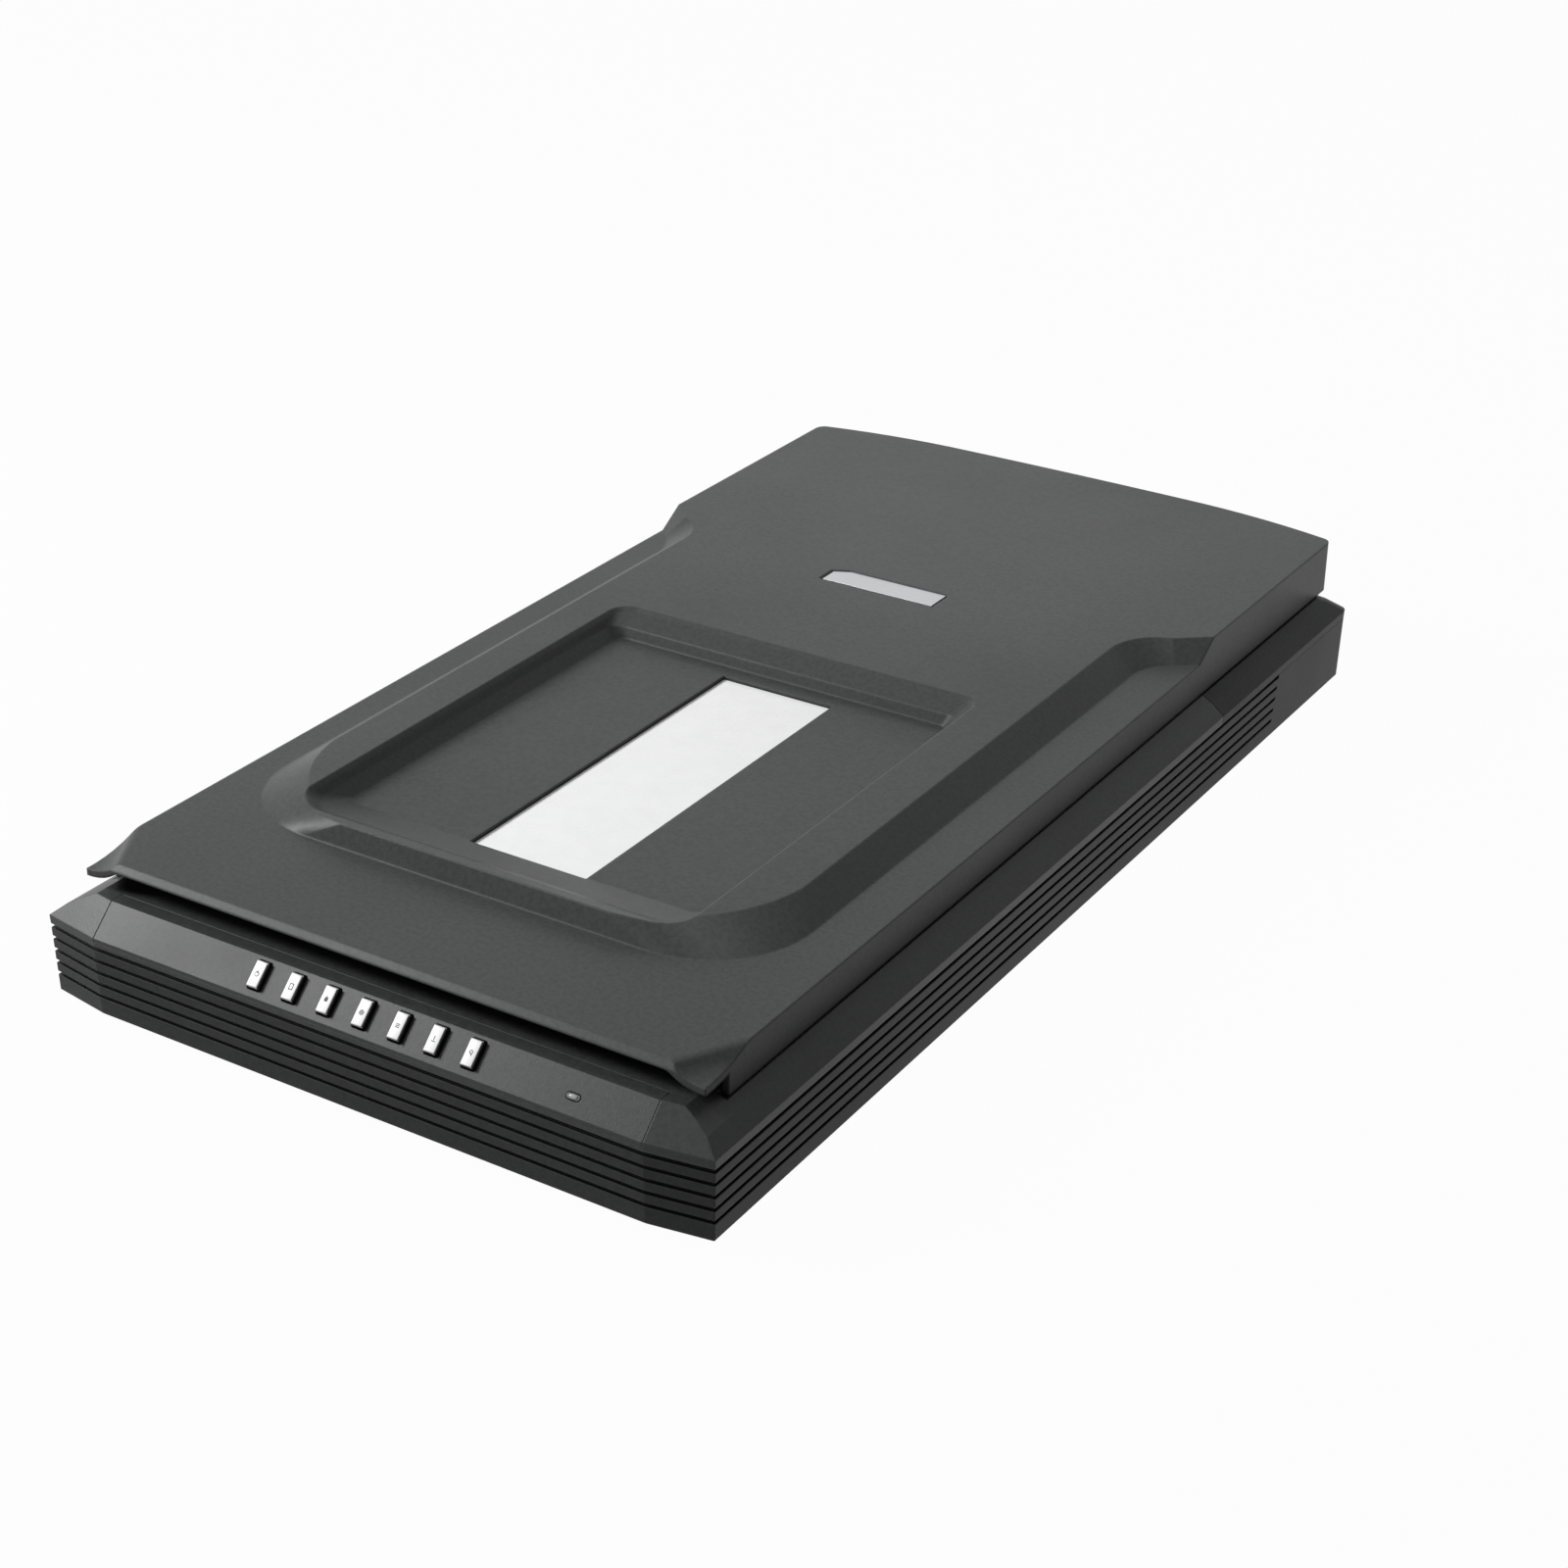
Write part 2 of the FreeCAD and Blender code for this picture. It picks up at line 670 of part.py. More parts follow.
# ---------------------------------------------------------------- control panel and buttons

def slope_prism(x, along, width, length, out_low, out_high, radius=0.0):
    """A rounded rectangular prism standing on the front slope."""
    half_x = width / 2
    half_y = length / 2
    prism = Part.makeBox(width, length, out_high - out_low, Vector(-half_x, -half_y, 0))
    if radius:
        prism = prism.makeFillet(radius, [e for e in prism.Edges if abs(e.tangentAt(0).z) > 0.99])
    prism.Placement = slope_placement(x, along, out_low)
    return prism


def control_panel():
    """The insert between the two front seams, with seven button holes and the light's hole."""
    half = panel_half() - dim("panel_clearance")
    body = profile_along_x(panel_profile(0.0), -half, half)
    width = dim("button_width") + 2 * dim("button_gap")
    length = dim("button_length") + 2 * dim("button_gap")
    for i in range(BUTTON_COUNT):
        body = body.cut(slope_prism(button_x(i), dim("button_on_slope"), width, length, -9, 4, 0.8))
    body = body.cut(slope_prism(dim("light_x"), dim("light_on_slope"), dim("light_length") + 0.5,
                                dim("light_width") + 0.5, -6, 2, dim("light_width") / 2 + 0.24))
    feature("control_panel", body)


def buttons():
    """Seven push buttons, each a key on a wider flange that the panel holds in."""
    for i in range(BUTTON_COUNT):
        label = f"button_{i + 1}"
        body = doc.addObject("PartDesign::Body", label)
        key = centred_rectangle(body, f"{label}_key", "button_width", "button_length")
        pad(body, key, "button_proud + panel_thickness + button_flange + 0.35")
        flange = centred_rectangle(body, f"{label}_flange", "button_width + 2 * button_gap + 1.4",
                                   "button_length + button_gap")
        pad(body, flange, "button_flange")
        out = -dim("panel_thickness") - 0.35 - dim("button_flange")
        body.Placement = slope_placement(button_x(i), dim("button_on_slope"), out)
        named(body, label)


def status_light():
    """The clear light pipe beside the buttons."""
    body = slope_prism(dim("light_x"), dim("light_on_slope"), dim("light_length"), dim("light_width"),
                       -dim("board_under_panel"), 0.15, dim("light_width") / 2 - 0.01)
    feature("status_light", body)


def button_board():
    """The board under the slope and the switches on it."""
    out = -dim("board_under_panel")
    board = slope_prism(20.0, dim("button_on_slope"), 132.0, 9.0, out - dim("board_thickness"), out)
    height = dim("board_under_panel") - dim("panel_thickness") - 0.35 - dim("button_flange") - dim("button_travel")
    for i in range(BUTTON_COUNT):
        base = slope_prism(button_x(i), dim("button_on_slope"), 6.0, 6.0, out - 0.1, out + height - 0.5)
        top = slope_prism(button_x(i), dim("button_on_slope"), 3.0, 3.0, out + height - 0.6, out + height - 0.05)
        board = board.fuse([base, top])
    feature("button_board", board.removeSplitter())


def button_board_ribs():
    """Three ribs on the case floor that the button board rests on."""
    out = -dim("board_under_panel")
    ribs = []
    for x in (-40.0, 20.0, 80.0):
        rib = slope_prism(x, dim("button_on_slope"), 2.0, 60.0, out - 60, out - dim("board_thickness"))
        ribs.append(rib.common(cuboid(x - 1, x + 1, FRONT + 6.5, FRONT + 15, FLOOR - 0.5, 60)))
    return ribs


# ---------------------------------------------------------------- glass and what lies on it

def glass_parts():
    """The platen glass and the calibration strip stuck under its front."""
    width = "width - 2 * (glass_side_margin - glass_overlap)"
    top = "deck_height - glass_lip - glass_thickness"
    middle = "window_from_front + window_length / 2 - depth / 2"
    plate("platen_glass", width, "window_length + 2 * glass_overlap", "glass_thickness", ("0", middle, top))
    plate("calibration_strip", "width - 2 * glass_side_margin", "4", "0.2",
          ("0", "window_from_front - depth / 2", f"{top} - 0.2"))


# ---------------------------------------------------------------- lid

def ear_fold(side):
    """The line an ear folds on, in plan: its front end, its direction and the way out to the tip."""
    start = Vector(side * (LID_SIDE - dim("ear_inset")), from_front("lid_front_from_front"), RIM_HEIGHT)
    end = Vector(side * LID_SIDE, from_front("kink_from_front"), RIM_HEIGHT)
    along = (end - start).normalize()
    return start, along, Vector(side * along.y, -side * along.x, 0)


def ear_curve(side, lower):
    """The ear's S-shaped section, square to its fold and lowered by an amount: its corners and edges."""
    start, along, out = ear_fold(side)
    tip = Vector(side * LID_SIDE, from_front("lid_front_from_front"), RIM_HEIGHT)
    length = (tip - start).dot(out)
    drop = dim("ear_drop")
    start = start - along * 20

    def at(share, fall):
        return start + out * (share * length) - Vector(0, 0, lower + fall * drop)

    fold = Part.Arc(at(0, 0), at(0.09, 0.05), at(0.18, 0.2)).toShape()
    swoop = Part.Arc(at(0.18, 0.2), at(0.46, 0.71), at(1, 1)).toShape()
    lip = Part.LineSegment(at(1, 1), at(1.3, 1)).toShape()
    return at(0, 0), at(1.3, 1), [fold, swoop, lip]


def ear_space(side, lower, depth):
    """The body between the ear's section and the same section raised by depth, or a high plane."""
    first, last, edges = ear_curve(side, lower)
    high_first, high_last, high_edges = ear_curve(side, lower - depth)
    sides = [Part.LineSegment(first, high_first).toShape(), Part.LineSegment(last, high_last).toShape()]
    section = Part.Face(Part.Wire(Part.__sortEdges__(edges + high_edges + sides)))
    return section.extrude(ear_fold(side)[1] * 80)


def lid_cavity():
    """The space inside the lid, open below and open at the front finger gap."""
    skin = dim("lid_skin")
    low = dim("rebate_height") - 2
    inner_front = from_front("skirt_from_front")
    room = slab(lid_outline(low, skin), SKIN_UNDER - low)
    room = room.fuse(cuboid(-HALF, HALF, FRONT, inner_front, low, SKIN_UNDER))
    rear = loft([plateau_outline(SKIN_UNDER - 0.1, 0, skin), plateau_outline(dim("height") - skin, 1, skin)])
    return room.fuse(rear)


def lid_shell():
    """The lid: rim, turned-down corners, skirts, plateau, rear block and sunk tray."""
    low = dim("rebate_height") + dim("lid_gap")
    top = dim("height")
    body = slab(lid_outline(low), RIM_HEIGHT - low)
    body = body.fuse(loft([plateau_outline(RIM_HEIGHT - 0.02, 0), plateau_outline(top, 1)]))
    grow = dim("lid_skin")
    cavity = lid_cavity().cut(loft(tray_wires(grow)))
    body = body.cut(cavity)
    body = body.cut(loft(tray_wires(0.0, 0.02)))
    plan = slab(lid_outline(low), top - low)
    for side in (-1, 1):
        body = body.cut(ear_space(side, 0.0, 20.0))
        body = body.fuse(ear_space(side, dim("lid_skin"), dim("lid_skin")).common(plan))
    body = body.cut(Part.Compound(lid_cuts()))
    body = body.cut(front_bevel())
    body = body.fuse(lid_screw_posts())
    for x, y in lid_screw_places():
        body = body.cut(upright(1.22, x, y, 30, SKIN_UNDER - 0.9))
    feature("lid_shell", body.removeSplitter())


def front_bevel():
    """What the bevel takes off the lid's front edge, between the ears."""
    size = dim("lid_front_bevel")
    front = from_front("lid_front_from_front")
    section = [(front - 1, RIM_HEIGHT - size - 1), (front - 1, RIM_HEIGHT + 1), (front + size + 1, RIM_HEIGHT + 1)]
    return profile_along_x(section, -HALF, HALF)


def lid_cuts():
    """Openings in the lid: the light window, the nameplate's slot, the back edge and hinge notches."""
    top = dim("height")
    half = dim("light_window_width") / 2 + 0.3
    start = from_front("light_window_from_front") - 0.3
    window = cuboid(-half, half, start, start + dim("light_window_length") + 0.6, 30, TRAY_FLOOR + 1)
    slot_floor = nameplate_wire(top - dim("nameplate_slot"), 0.25)
    slot = loft([slot_floor, nameplate_wire(top + 0.02, 0.25 + dim("nameplate_slot"))])
    back = cuboid(-HALF + 22, HALF - 22, BACK - 9, BACK + 5, 20, dim("hinge_height") - 4)
    notches = [cuboid(s * dim("hinge_x") - 16, s * dim("hinge_x") + 16, BACK - 9, BACK + 5, 20,
                      dim("hinge_height") + 4.5) for s in (-1, 1)]
    return [window, slot, back] + notches


def nameplate_wire(z, grow):
    """The nameplate's outline: a long plate with its left back corner cut off at a slant."""
    left = -dim("nameplate_left") - grow
    right = dim("nameplate_right") + grow
    front = from_front("nameplate_from_front") - dim("nameplate_width") / 2 - grow
    back = front + dim("nameplate_width") + 1.4 * grow
    points = [(left, front), (right, front), (right, back), (left + 6, back), (left, back - 3)]
    corners = [Vector(x, y, z) for x, y in points]
    return Part.makePolygon(corners + corners[:1])


def lid_screw_places():
    """Where the inner panel is screwed to the lid."""
    half = LID_SIDE - 5.0
    return [(side * half, y) for side in (-1, 1) for y in (FRONT + 46, from_front("step_from_front") - 10)]


def lid_screw_posts():
    """Posts under the lid's skin for the inner panel's screws."""
    return [upright(2.6, x, y, PANEL_TOP, SKIN_UNDER + 0.5) for x, y in lid_screw_places()]


def lid_inner_panel():
    """The pan that closes the lid from below, with a front wall behind the finger gap."""
    half = LID_SIDE - dim("lid_skin") - 0.3
    front = from_front("skirt_from_front")
    back = POST_Y - 3.0
    body = cuboid(-half, half, front, back, PAD_TOP, PANEL_TOP)
    body = body.fuse(cuboid(-half, half, front, front + 1.6, PAD_TOP, SKIN_UNDER - dim("lid_gap")))
    for side in (-1, 1):
        body = body.cut(ear_space(side, dim("lid_skin") + 0.3, 20.0))
    for x, y in lid_screw_places():
        body = body.cut(upright(1.3, x, y, 30, 60))
    feature("lid_inner_panel", body.removeSplitter())
    screws = [upright(2.0, x, y, PAD_TOP - 1.1, PAD_TOP).fuse(upright(1.2, x, y, PAD_TOP - 0.1, SKIN_UNDER - 1.2))
              for x, y in lid_screw_places()]
    feature("lid_screws", Part.Compound(screws))


def lid_soft_parts():
    """The white document pad and the four bumpers that the closed lid rests on."""
    plate("document_pad", "width - 2 * glass_side_margin + 2", "window_length + 4", "pad_thickness",
          ("0", "window_from_front + window_length / 2 - depth / 2", "deck_height + panel_clearance"), "6")
    places = [(side * 92.0, y) for side in (-1, 1) for y in (FRONT + 33, from_front("rear_seam_from_front") + 14)]
    feet = [upright(4.0, x, y, dim("deck_height"), PAD_TOP) for x, y in places]
    feature("lid_bumpers", Part.Compound(feet))


def light_window():
    """The opal strip in the tray: a plate standing in the opening on a wider flange."""
    middle = "light_window_from_front + light_window_length / 2 - depth / 2"
    under = "height - tray_depth - lid_skin"
    body = doc.addObject("PartDesign::Body", "light_window")
    flange = centred_rectangle(body, "window_flange", "light_window_width + 7", "light_window_length + 7")
    pad(body, flange, "1.4")
    raised = centred_rectangle(body, "window_face", "light_window_width", "light_window_length")
    pad(body, raised, "1.4 + lid_skin - light_window_step")
    place(body, "0", middle, f"{under} - 1.4")
    named(body, "light_window")


def film_lamp():
    """The tube, its end holders, the light guide and the driver board inside the lid."""
    low = PANEL_TOP
    length = dim("light_window_length")
    start = from_front("light_window_from_front")
    x = dim("light_window_width") / 2 + 7.5
    under_floor = TRAY_FLOOR - dim("lid_skin")
    middle = "light_window_from_front + light_window_length / 2 - depth / 2"
    plate("light_guide", "light_window_width + 6", "light_window_length + 6",
          "height - tray_depth - lid_skin - 1.4 - deck_height - panel_clearance - pad_thickness"
          " - inner_panel_thickness",
          ("0", middle, "deck_height + panel_clearance + pad_thickness + inner_panel_thickness"))
    tube_z = (low + under_floor) / 2
    tube = Part.makeCylinder(1.2, length, Vector(x, start, tube_z), Vector(0, 1, 0))
    feature("film_lamp", tube)
    holders = []
    for y in (start + 2, start + length - 8):
        holder = cuboid(x - 2.6, x + 2.6, y, y + 6, low, under_floor)
        holders.append(holder.cut(Part.makeCylinder(1.2, length + 20, Vector(x, start - 10, tube_z), Vector(0, 1, 0))))
    feature("film_lamp_holders", Part.Compound(holders))
    board_y = from_front("step_from_front") + 32
    board = cuboid(-30, 30, board_y - 18, board_y + 18, low + 2, low + 2 + dim("board_thickness"))
    pillars = [upright(2, sx * 26, board_y + sy * 14, low, low + 2) for sx in (-1, 1) for sy in (-1, 1)]
    top = low + 2 + dim("board_thickness")
    parts = [cuboid(-20, -2, board_y - 12, board_y + 4, top - 0.1, top + 5.5),
             cuboid(8, 16, board_y - 8, board_y, top - 0.1, top + 2),
             upright(3, 22, board_y + 8, top - 0.1, top + 6)]
    feature("lamp_driver_board", board.fuse(pillars + parts).removeSplitter())


def nameplate():
    """The bare metal plate in the slot near the back of the lid."""
    low = dim("height") - dim("nameplate_slot")
    feature("nameplate", slab(nameplate_wire(low, -0.05), 0.7))


# ---------------------------------------------------------------- hinges

def hinge_post(side):
    """A post that slides up out of the base, with the knuckle the lid turns on."""
    x = side * dim("hinge_x")
    body = post_box(side, dim("post_foot"), dim("rear_deck_height") - 0.4, 0)
    neck = cuboid(x - 7, x + 7, POST_Y, POST_Y + dim("post_thickness"), dim("rear_deck_height") - 1,
                  dim("hinge_height"))
    start = Vector(x - 7, HINGE_Y, dim("hinge_height"))
    knuckle = Part.makeCylinder(dim("knuckle_radius"), 14, start, Vector(1, 0, 0))
    radius = dim("hinge_pin_radius") + dim("running_clearance")
    bore = Part.makeCylinder(radius, 20, start + Vector(-3, 0, 0), Vector(1, 0, 0))
    return body.fuse([neck, knuckle]).removeSplitter().cut(bore)


def hinge_bracket(side):
    """Two lugs under the lid's rear skin, joined by a plate."""
    x = side * dim("hinge_x")
    top = dim("height") - dim("lid_skin")
    low = dim("hinge_height") - 3.6
    lugs = []
    for inner in (-10.5, 7.4):
        lug = cuboid(x + inner, x + inner + 3.1, HINGE_Y - 4.2, HINGE_Y + 0.4, dim("hinge_height"), top)
        nose = Part.makeCylinder(3.6, 3.1, Vector(x + inner, HINGE_Y, dim("hinge_height")), Vector(1, 0, 0))
        lugs.append(lug.fuse(nose))
    bridge = cuboid(x - 10.5, x + 10.5, HINGE_Y - 16, HINGE_Y + 0.4, top - 2.2, top)
    body = bridge.fuse(lugs).removeSplitter()
    start = Vector(x - 20, HINGE_Y, dim("hinge_height"))
    return body.cut(Part.makeCylinder(dim("hinge_pin_radius") + 0.02, 40, start, Vector(1, 0, 0)))


def hinges():
    """Posts, brackets and pins on both sides."""
    pins = []
    for name, side in (("left", -1), ("right", 1)):
        feature(f"hinge_post_{name}", hinge_post(side))
        feature(f"hinge_bracket_{name}", hinge_bracket(side))
        pins.append(rod(f"pin_{name}", "hinge_pin_radius", "22.4",
                        (f"{side} * hinge_x - 11.2", "depth / 2 - hinge_from_back", "hinge_height"), "x"))
    pair = doc.addObject("Part::Compound", "hinge_pins")
    pair.Links = pins
    named(pair, "hinge_pins")


# ---------------------------------------------------------------- scan carriage

def carriage_limits():
    """The housing's half width, middle in Y, bottom and top."""
    top = GLASS_TOP - dim("glass_thickness") - dim("carriage_under_glass")
    return HALF - dim("carriage_inset"), from_front("carriage_from_front"), dim("carriage_bottom"), top


def carriage_housing():
    """The tray that carries the optics, open below, with a slot across its top."""
    half, y, low, top = carriage_limits()
    reach = dim("carriage_length") / 2
    body = cuboid(-half, half, y - reach, y + reach, low, top)
    body = body.cut(cuboid(-half + 2, half - 2, y - reach + 2, y + reach - 2, low - 1, top - 2))
    body = body.cut(cuboid(-half + 2, half - 2, y - 13, y + 4, low, top + 1))
    rod_x = -dim("rod_x")
    for block_y in (y - reach, y + reach - 8):
        bush_block = cuboid(rod_x - 6.5, rod_x + 6.5, block_y, block_y + 8, dim("rod_height") - 2.6, low + 1)
        body = body.fuse(bush_block)
    body = body.cut(Part.makeCylinder(4.1, 80, Vector(rod_x, y - 40, dim("rod_height")), Vector(0, 1, 0)))
    feature("carriage_housing", body.removeSplitter())


def carriage_bushes():
    """Two bronze bushes that run on the guide rod."""
    _, y, _, _ = carriage_limits()
    reach = dim("carriage_length") / 2
    bore = dim("rod_radius") + dim("running_clearance")
    rings = []
    for ring_y in (y - reach, y + reach - 8):
        start = Vector(-dim("rod_x"), ring_y, dim("rod_height"))
        ring = Part.makeCylinder(4.08, 8, start, Vector(0, 1, 0))
        rings.append(ring.cut(Part.makeCylinder(bore, 8, start, Vector(0, 1, 0))))
    feature("carriage_bushes", Part.Compound(rings))


def carriage_optics():
    """Lamp, caps, reflector, three mirrors, lens and sensor board."""
    half, y, low, top = carriage_limits()
    inner = half - 2
    lamp_y = y - 9.0
    lamp_z = top - 2.6
    feature("scan_lamp", Part.makeCylinder(1.5, 2 * inner, Vector(-inner, lamp_y, lamp_z), Vector(1, 0, 0)))
    caps = []
    for side in (-1, 1):
        x = side * (inner - 2)
        cap = cuboid(x - 2, x + 2, lamp_y - 3.4, lamp_y + 3, lamp_z - 3, lamp_z + 2.4)
        caps.append(cap.cut(Part.makeCylinder(1.5, 2 * inner + 2, Vector(-inner - 1, lamp_y, lamp_z), Vector(1, 0, 0))))
    feature("scan_lamp_caps", Part.Compound(caps))
    section = [(lamp_y - 3.6, lamp_z + 1.5), (lamp_y - 4.0, lamp_z + 1.5), (lamp_y - 4.0, lamp_z - 4.2),
               (lamp_y + 2.0, lamp_z - 4.2), (lamp_y + 2.0, lamp_z - 3.8), (lamp_y - 3.6, lamp_z - 3.8)]
    feature("lamp_reflector", profile_along_x(section, -inner, inner))
    mirrors = []
    for mirror_y, mirror_z, angle in ((y + 1.0, low + 5.5, 45.0), (y - 24.0, low + 5.5, -52.0), (y - 13.0, low + 1.8, 8.0)):
        glass = Part.makeBox(2 * inner, 8, 1.4, Vector(-inner, -4, -0.7))
        glass.Placement = Placement(Vector(0, mirror_y, mirror_z), Rotation(Vector(1, 0, 0), angle))
        mirrors.append(glass)
    feature("carriage_mirrors", Part.Compound(mirrors))
    lens_z = low + 7.0
    barrel = Part.makeCylinder(5.5, 12, Vector(0, y + 12, lens_z), Vector(0, 1, 0))
    eye = Part.makeSphere(7.5, Vector(0, y + 18.2, lens_z)).common(Part.makeCylinder(4, 2.2, Vector(0, y + 10, lens_z),
                                                                                  Vector(0, 1, 0)))
    bore = Part.makeCylinder(4.0, 3, Vector(0, y + 11.9, lens_z), Vector(0, 1, 0))
    saddle = cuboid(-7, 7, y + 14, y + 22, lens_z, top - 2)
    barrel = barrel.cut(bore).fuse([saddle, eye])
    feature("lens", barrel.removeSplitter())
    rear = y + dim("carriage_length") / 2
    sensor = cuboid(-26, 26, rear - 6.2, rear - 3.9, lens_z - 3, lens_z + 3)
    feature("sensor_board", cuboid(-75, 45, rear - 4.0, rear - 2.0, low + 1.2, top - 2).fuse(sensor))


def carriage_underside():
    """The slide pad over the side rail and the clamp that holds the belt's left run."""
    _, y, low, _ = carriage_limits()
    named(block("slide_pad", ("6", "16", "0.8"),
                ("width / 2 - carriage_inset - 17", "carriage_from_front - depth / 2 - 31",
                 "carriage_bottom - 0.8")), "slide_pad")
    run = dim("belt_radius") + dim("belt_thickness") / 2
    grip = dim("belt_thickness") / 2 + 0.3
    rear = y + dim("carriage_length") / 2 - 2
    jaws = cuboid(-run - grip - 2.4, -run + grip + 2.4, rear - 12, rear, BELT_LOW - 0.5, low)
    slot = cuboid(-run - grip, -run + grip, rear - 13, rear + 1, 0, BELT_LOW + dim("belt_width") + 0.4)
    tab = cuboid(-run - 5, -run + 5, rear - 12, rear + 2.0, low - 1.2, low)
    feature("belt_clamp", jaws.cut(slot).fuse(tab).removeSplitter())


# ---------------------------------------------------------------- drive

def guide_parts():
    """The guide rod, the clips over its ends and the rail on the other side."""
    start, end = rod_ends()
    rod_solid = rod("guide_rod", "rod_radius", "drive_from_front - 28",
                    ("-rod_x", "12 - depth / 2", "rod_height"), "y")
    named(rod_solid, "guide_rod")
    clips = []
    for y in (start, end - 6):
        cap = cuboid(-dim("rod_x") - 8, -dim("rod_x") + 8, y, y + 6, dim("rod_height"), dim("rod_height") + 3.4)
        tunnel = Part.makeCylinder(dim("rod_radius"), 30, Vector(-dim("rod_x"), y - 5, dim("rod_height")),
                                   Vector(0, 1, 0))
        clips.append(cap.cut(tunnel))
    feature("rod_clips", Part.Compound(clips))
    named(block("side_rail", ("5", "drive_from_front - 40", "carriage_bottom - 1 - case_bottom - wall"),
                ("width / 2 - carriage_inset - 16.5", "16 - depth / 2", "case_bottom + wall")), "side_rail")


def belt_loop(radius, height, z):
    """A stadium-shaped prism round both pulleys."""
    front = from_front("idler_from_front")
    back = from_front("drive_from_front")
    ends = [upright(radius, 0, y, z, z + height) for y in (front, back)]
    middle = cuboid(-radius, radius, front, back, z, z + height)
    return middle.fuse(ends).removeSplitter()


def drive_belt():
    """The flat loop between the two pulleys."""
    low = BELT_LOW
    inner = dim("belt_radius")
    outer = belt_loop(inner + dim("belt_thickness"), dim("belt_width"), low)
    feature("drive_belt", outer.cut(belt_loop(inner, dim("belt_width"), low)))


def toothed_wheel(teeth, x, y, phase):
    """A spur wheel with straight-flanked teeth; a tooth points along +X at phase 0."""
    module = dim("gear_module")
    pitch = module * teeth / 2
    root = pitch - 1.05 * module
    tip = pitch + 0.8 * module
    step = 360.0 / teeth
    points = []
    for i in range(int(teeth)):
        middle = phase + i * step
        for radius, share in ((root, -0.34), (tip, -0.11), (tip, 0.11), (root, 0.34)):
            angle = math.radians(middle + share * step)
            points.append(Vector(x + radius * math.cos(angle), y + radius * math.sin(angle), GEAR_LOW))
    face = Part.Face(Part.makePolygon(points + points[:1]))
    return face.extrude(Vector(0, 0, dim("gear_thickness")))


def pulley(x, y):
    """A plain belt pulley with a flange above and below the belt."""
    low = BELT_LOW
    high = low + dim("belt_width")
    drum = upright(dim("belt_radius") - 0.3, x, y, low - 0.8, high + 0.8)
    flanges = [upright(dim("belt_radius") + 1.6, x, y, low - 0.9, low - 0.3),
               upright(dim("belt_radius") + 1.6, x, y, high + 0.3, high + 0.9)]
    return drum.fuse(flanges)


def gear_distance():
    """The distance between the drive gear and the motor pinion."""
    return dim("gear_module") * (dim("drive_teeth") + dim("pinion_teeth")) / 2


def drive_train():
    """Drive gear with its pulley, idler, axles, motor and pinion."""
    y = from_front("drive_from_front")
    bore = 1.5 + dim("running_clearance")
    wheel = toothed_wheel(dim("drive_teeth"), 0, y, 0.0).fuse(pulley(0, y))
    wheel = wheel.fuse(upright(4.0, 0, y, BELT_LOW, GEAR_LOW + dim("gear_thickness")))
    feature("drive_gear", wheel.cut(upright(bore, 0, y, 0, 40)))
    feature("drive_axle", upright(1.5, 0, y, FLOOR, BRACKET_LOW))
    idler_y = from_front("idler_from_front")
    feature("idler_pulley", pulley(0, idler_y).cut(upright(bore, 0, idler_y, 0, 40)))
    x = gear_distance()
    half_tooth = 180.0 / dim("pinion_teeth")
    pinion = toothed_wheel(dim("pinion_teeth"), x, y, 180.0 + half_tooth)
    shaft = upright(1.0, x, y, GEAR_LOW - 1, BRACKET_LOW)
    feature("motor_pinion", pinion.fuse(shaft).removeSplitter())
    motor_low = BRACKET_LOW + dim("bracket_thickness")
    can = upright(dim("motor_radius"), x, y, motor_low, motor_low + dim("motor_height"))
    ears = cuboid(x - 24, x + 24, y - 3.5, y + 3.5, motor_low, motor_low + 0.8)
    boss = upright(4.5, x, y, BRACKET_LOW + 0.1, motor_low)
    feature("stepper_motor", can.fuse([ears, boss]).removeSplitter())


def motor_bracket():
    """The plate that holds the motor over the gears on four legs."""
    y = from_front("drive_from_front")
    x = gear_distance()
    low = BRACKET_LOW
    body = cuboid(-28, x + 26, y - 16, y + 16, low, low + dim("bracket_thickness"))
    body = body.cut(upright(4.6, x, y, 0, 60))
    for leg_x in (-25.0, x + 22.0):
        for leg_y in (y - 12.5, y + 12.5):
            body = body.fuse(upright(2.4, leg_x, leg_y, FLOOR, low))
    feature("motor_bracket", body.removeSplitter())


def spring_hook():
    """The tab on the case floor that holds the front end of the idler's spring."""
    y = from_front("idler_from_front")
    return cuboid(-2, 2, y - 15.4, y - 14.3, FLOOR - 0.5, FLOOR + 4)


def idler_mount():
    """The sliding bracket that the idler turns on, and the spring that tensions the belt."""
    y = from_front("idler_from_front")
    base = cuboid(-8, 8, y - 8, y + 8, FLOOR, FLOOR + 0.6)
    axle = upright(1.5, 0, y, FLOOR, BELT_LOW + dim("belt_width") + 1.0)
    tab = cuboid(-3, 3, y - 9, y - 8, FLOOR, FLOOR + 4)
    feature("idler_bracket", base.fuse([axle, tab]).removeSplitter())
    helix = Part.makeHelix(1.2, 4.8, 1.2)
    start = Vector(1.2, 0, 0)
    profile = Part.Wire(Part.makeCircle(0.25, start, Vector(0, 1, 0.15)))
    coil = Part.Wire(helix).makePipeShell([profile], True, True)
    coil.Placement = Placement(Vector(0, y - 9.2, FLOOR + 2.2), Rotation(Vector(1, 0, 0), 90))
    feature("idler_spring", coil)


# ---------------------------------------------------------------- electronics, fasteners, feet

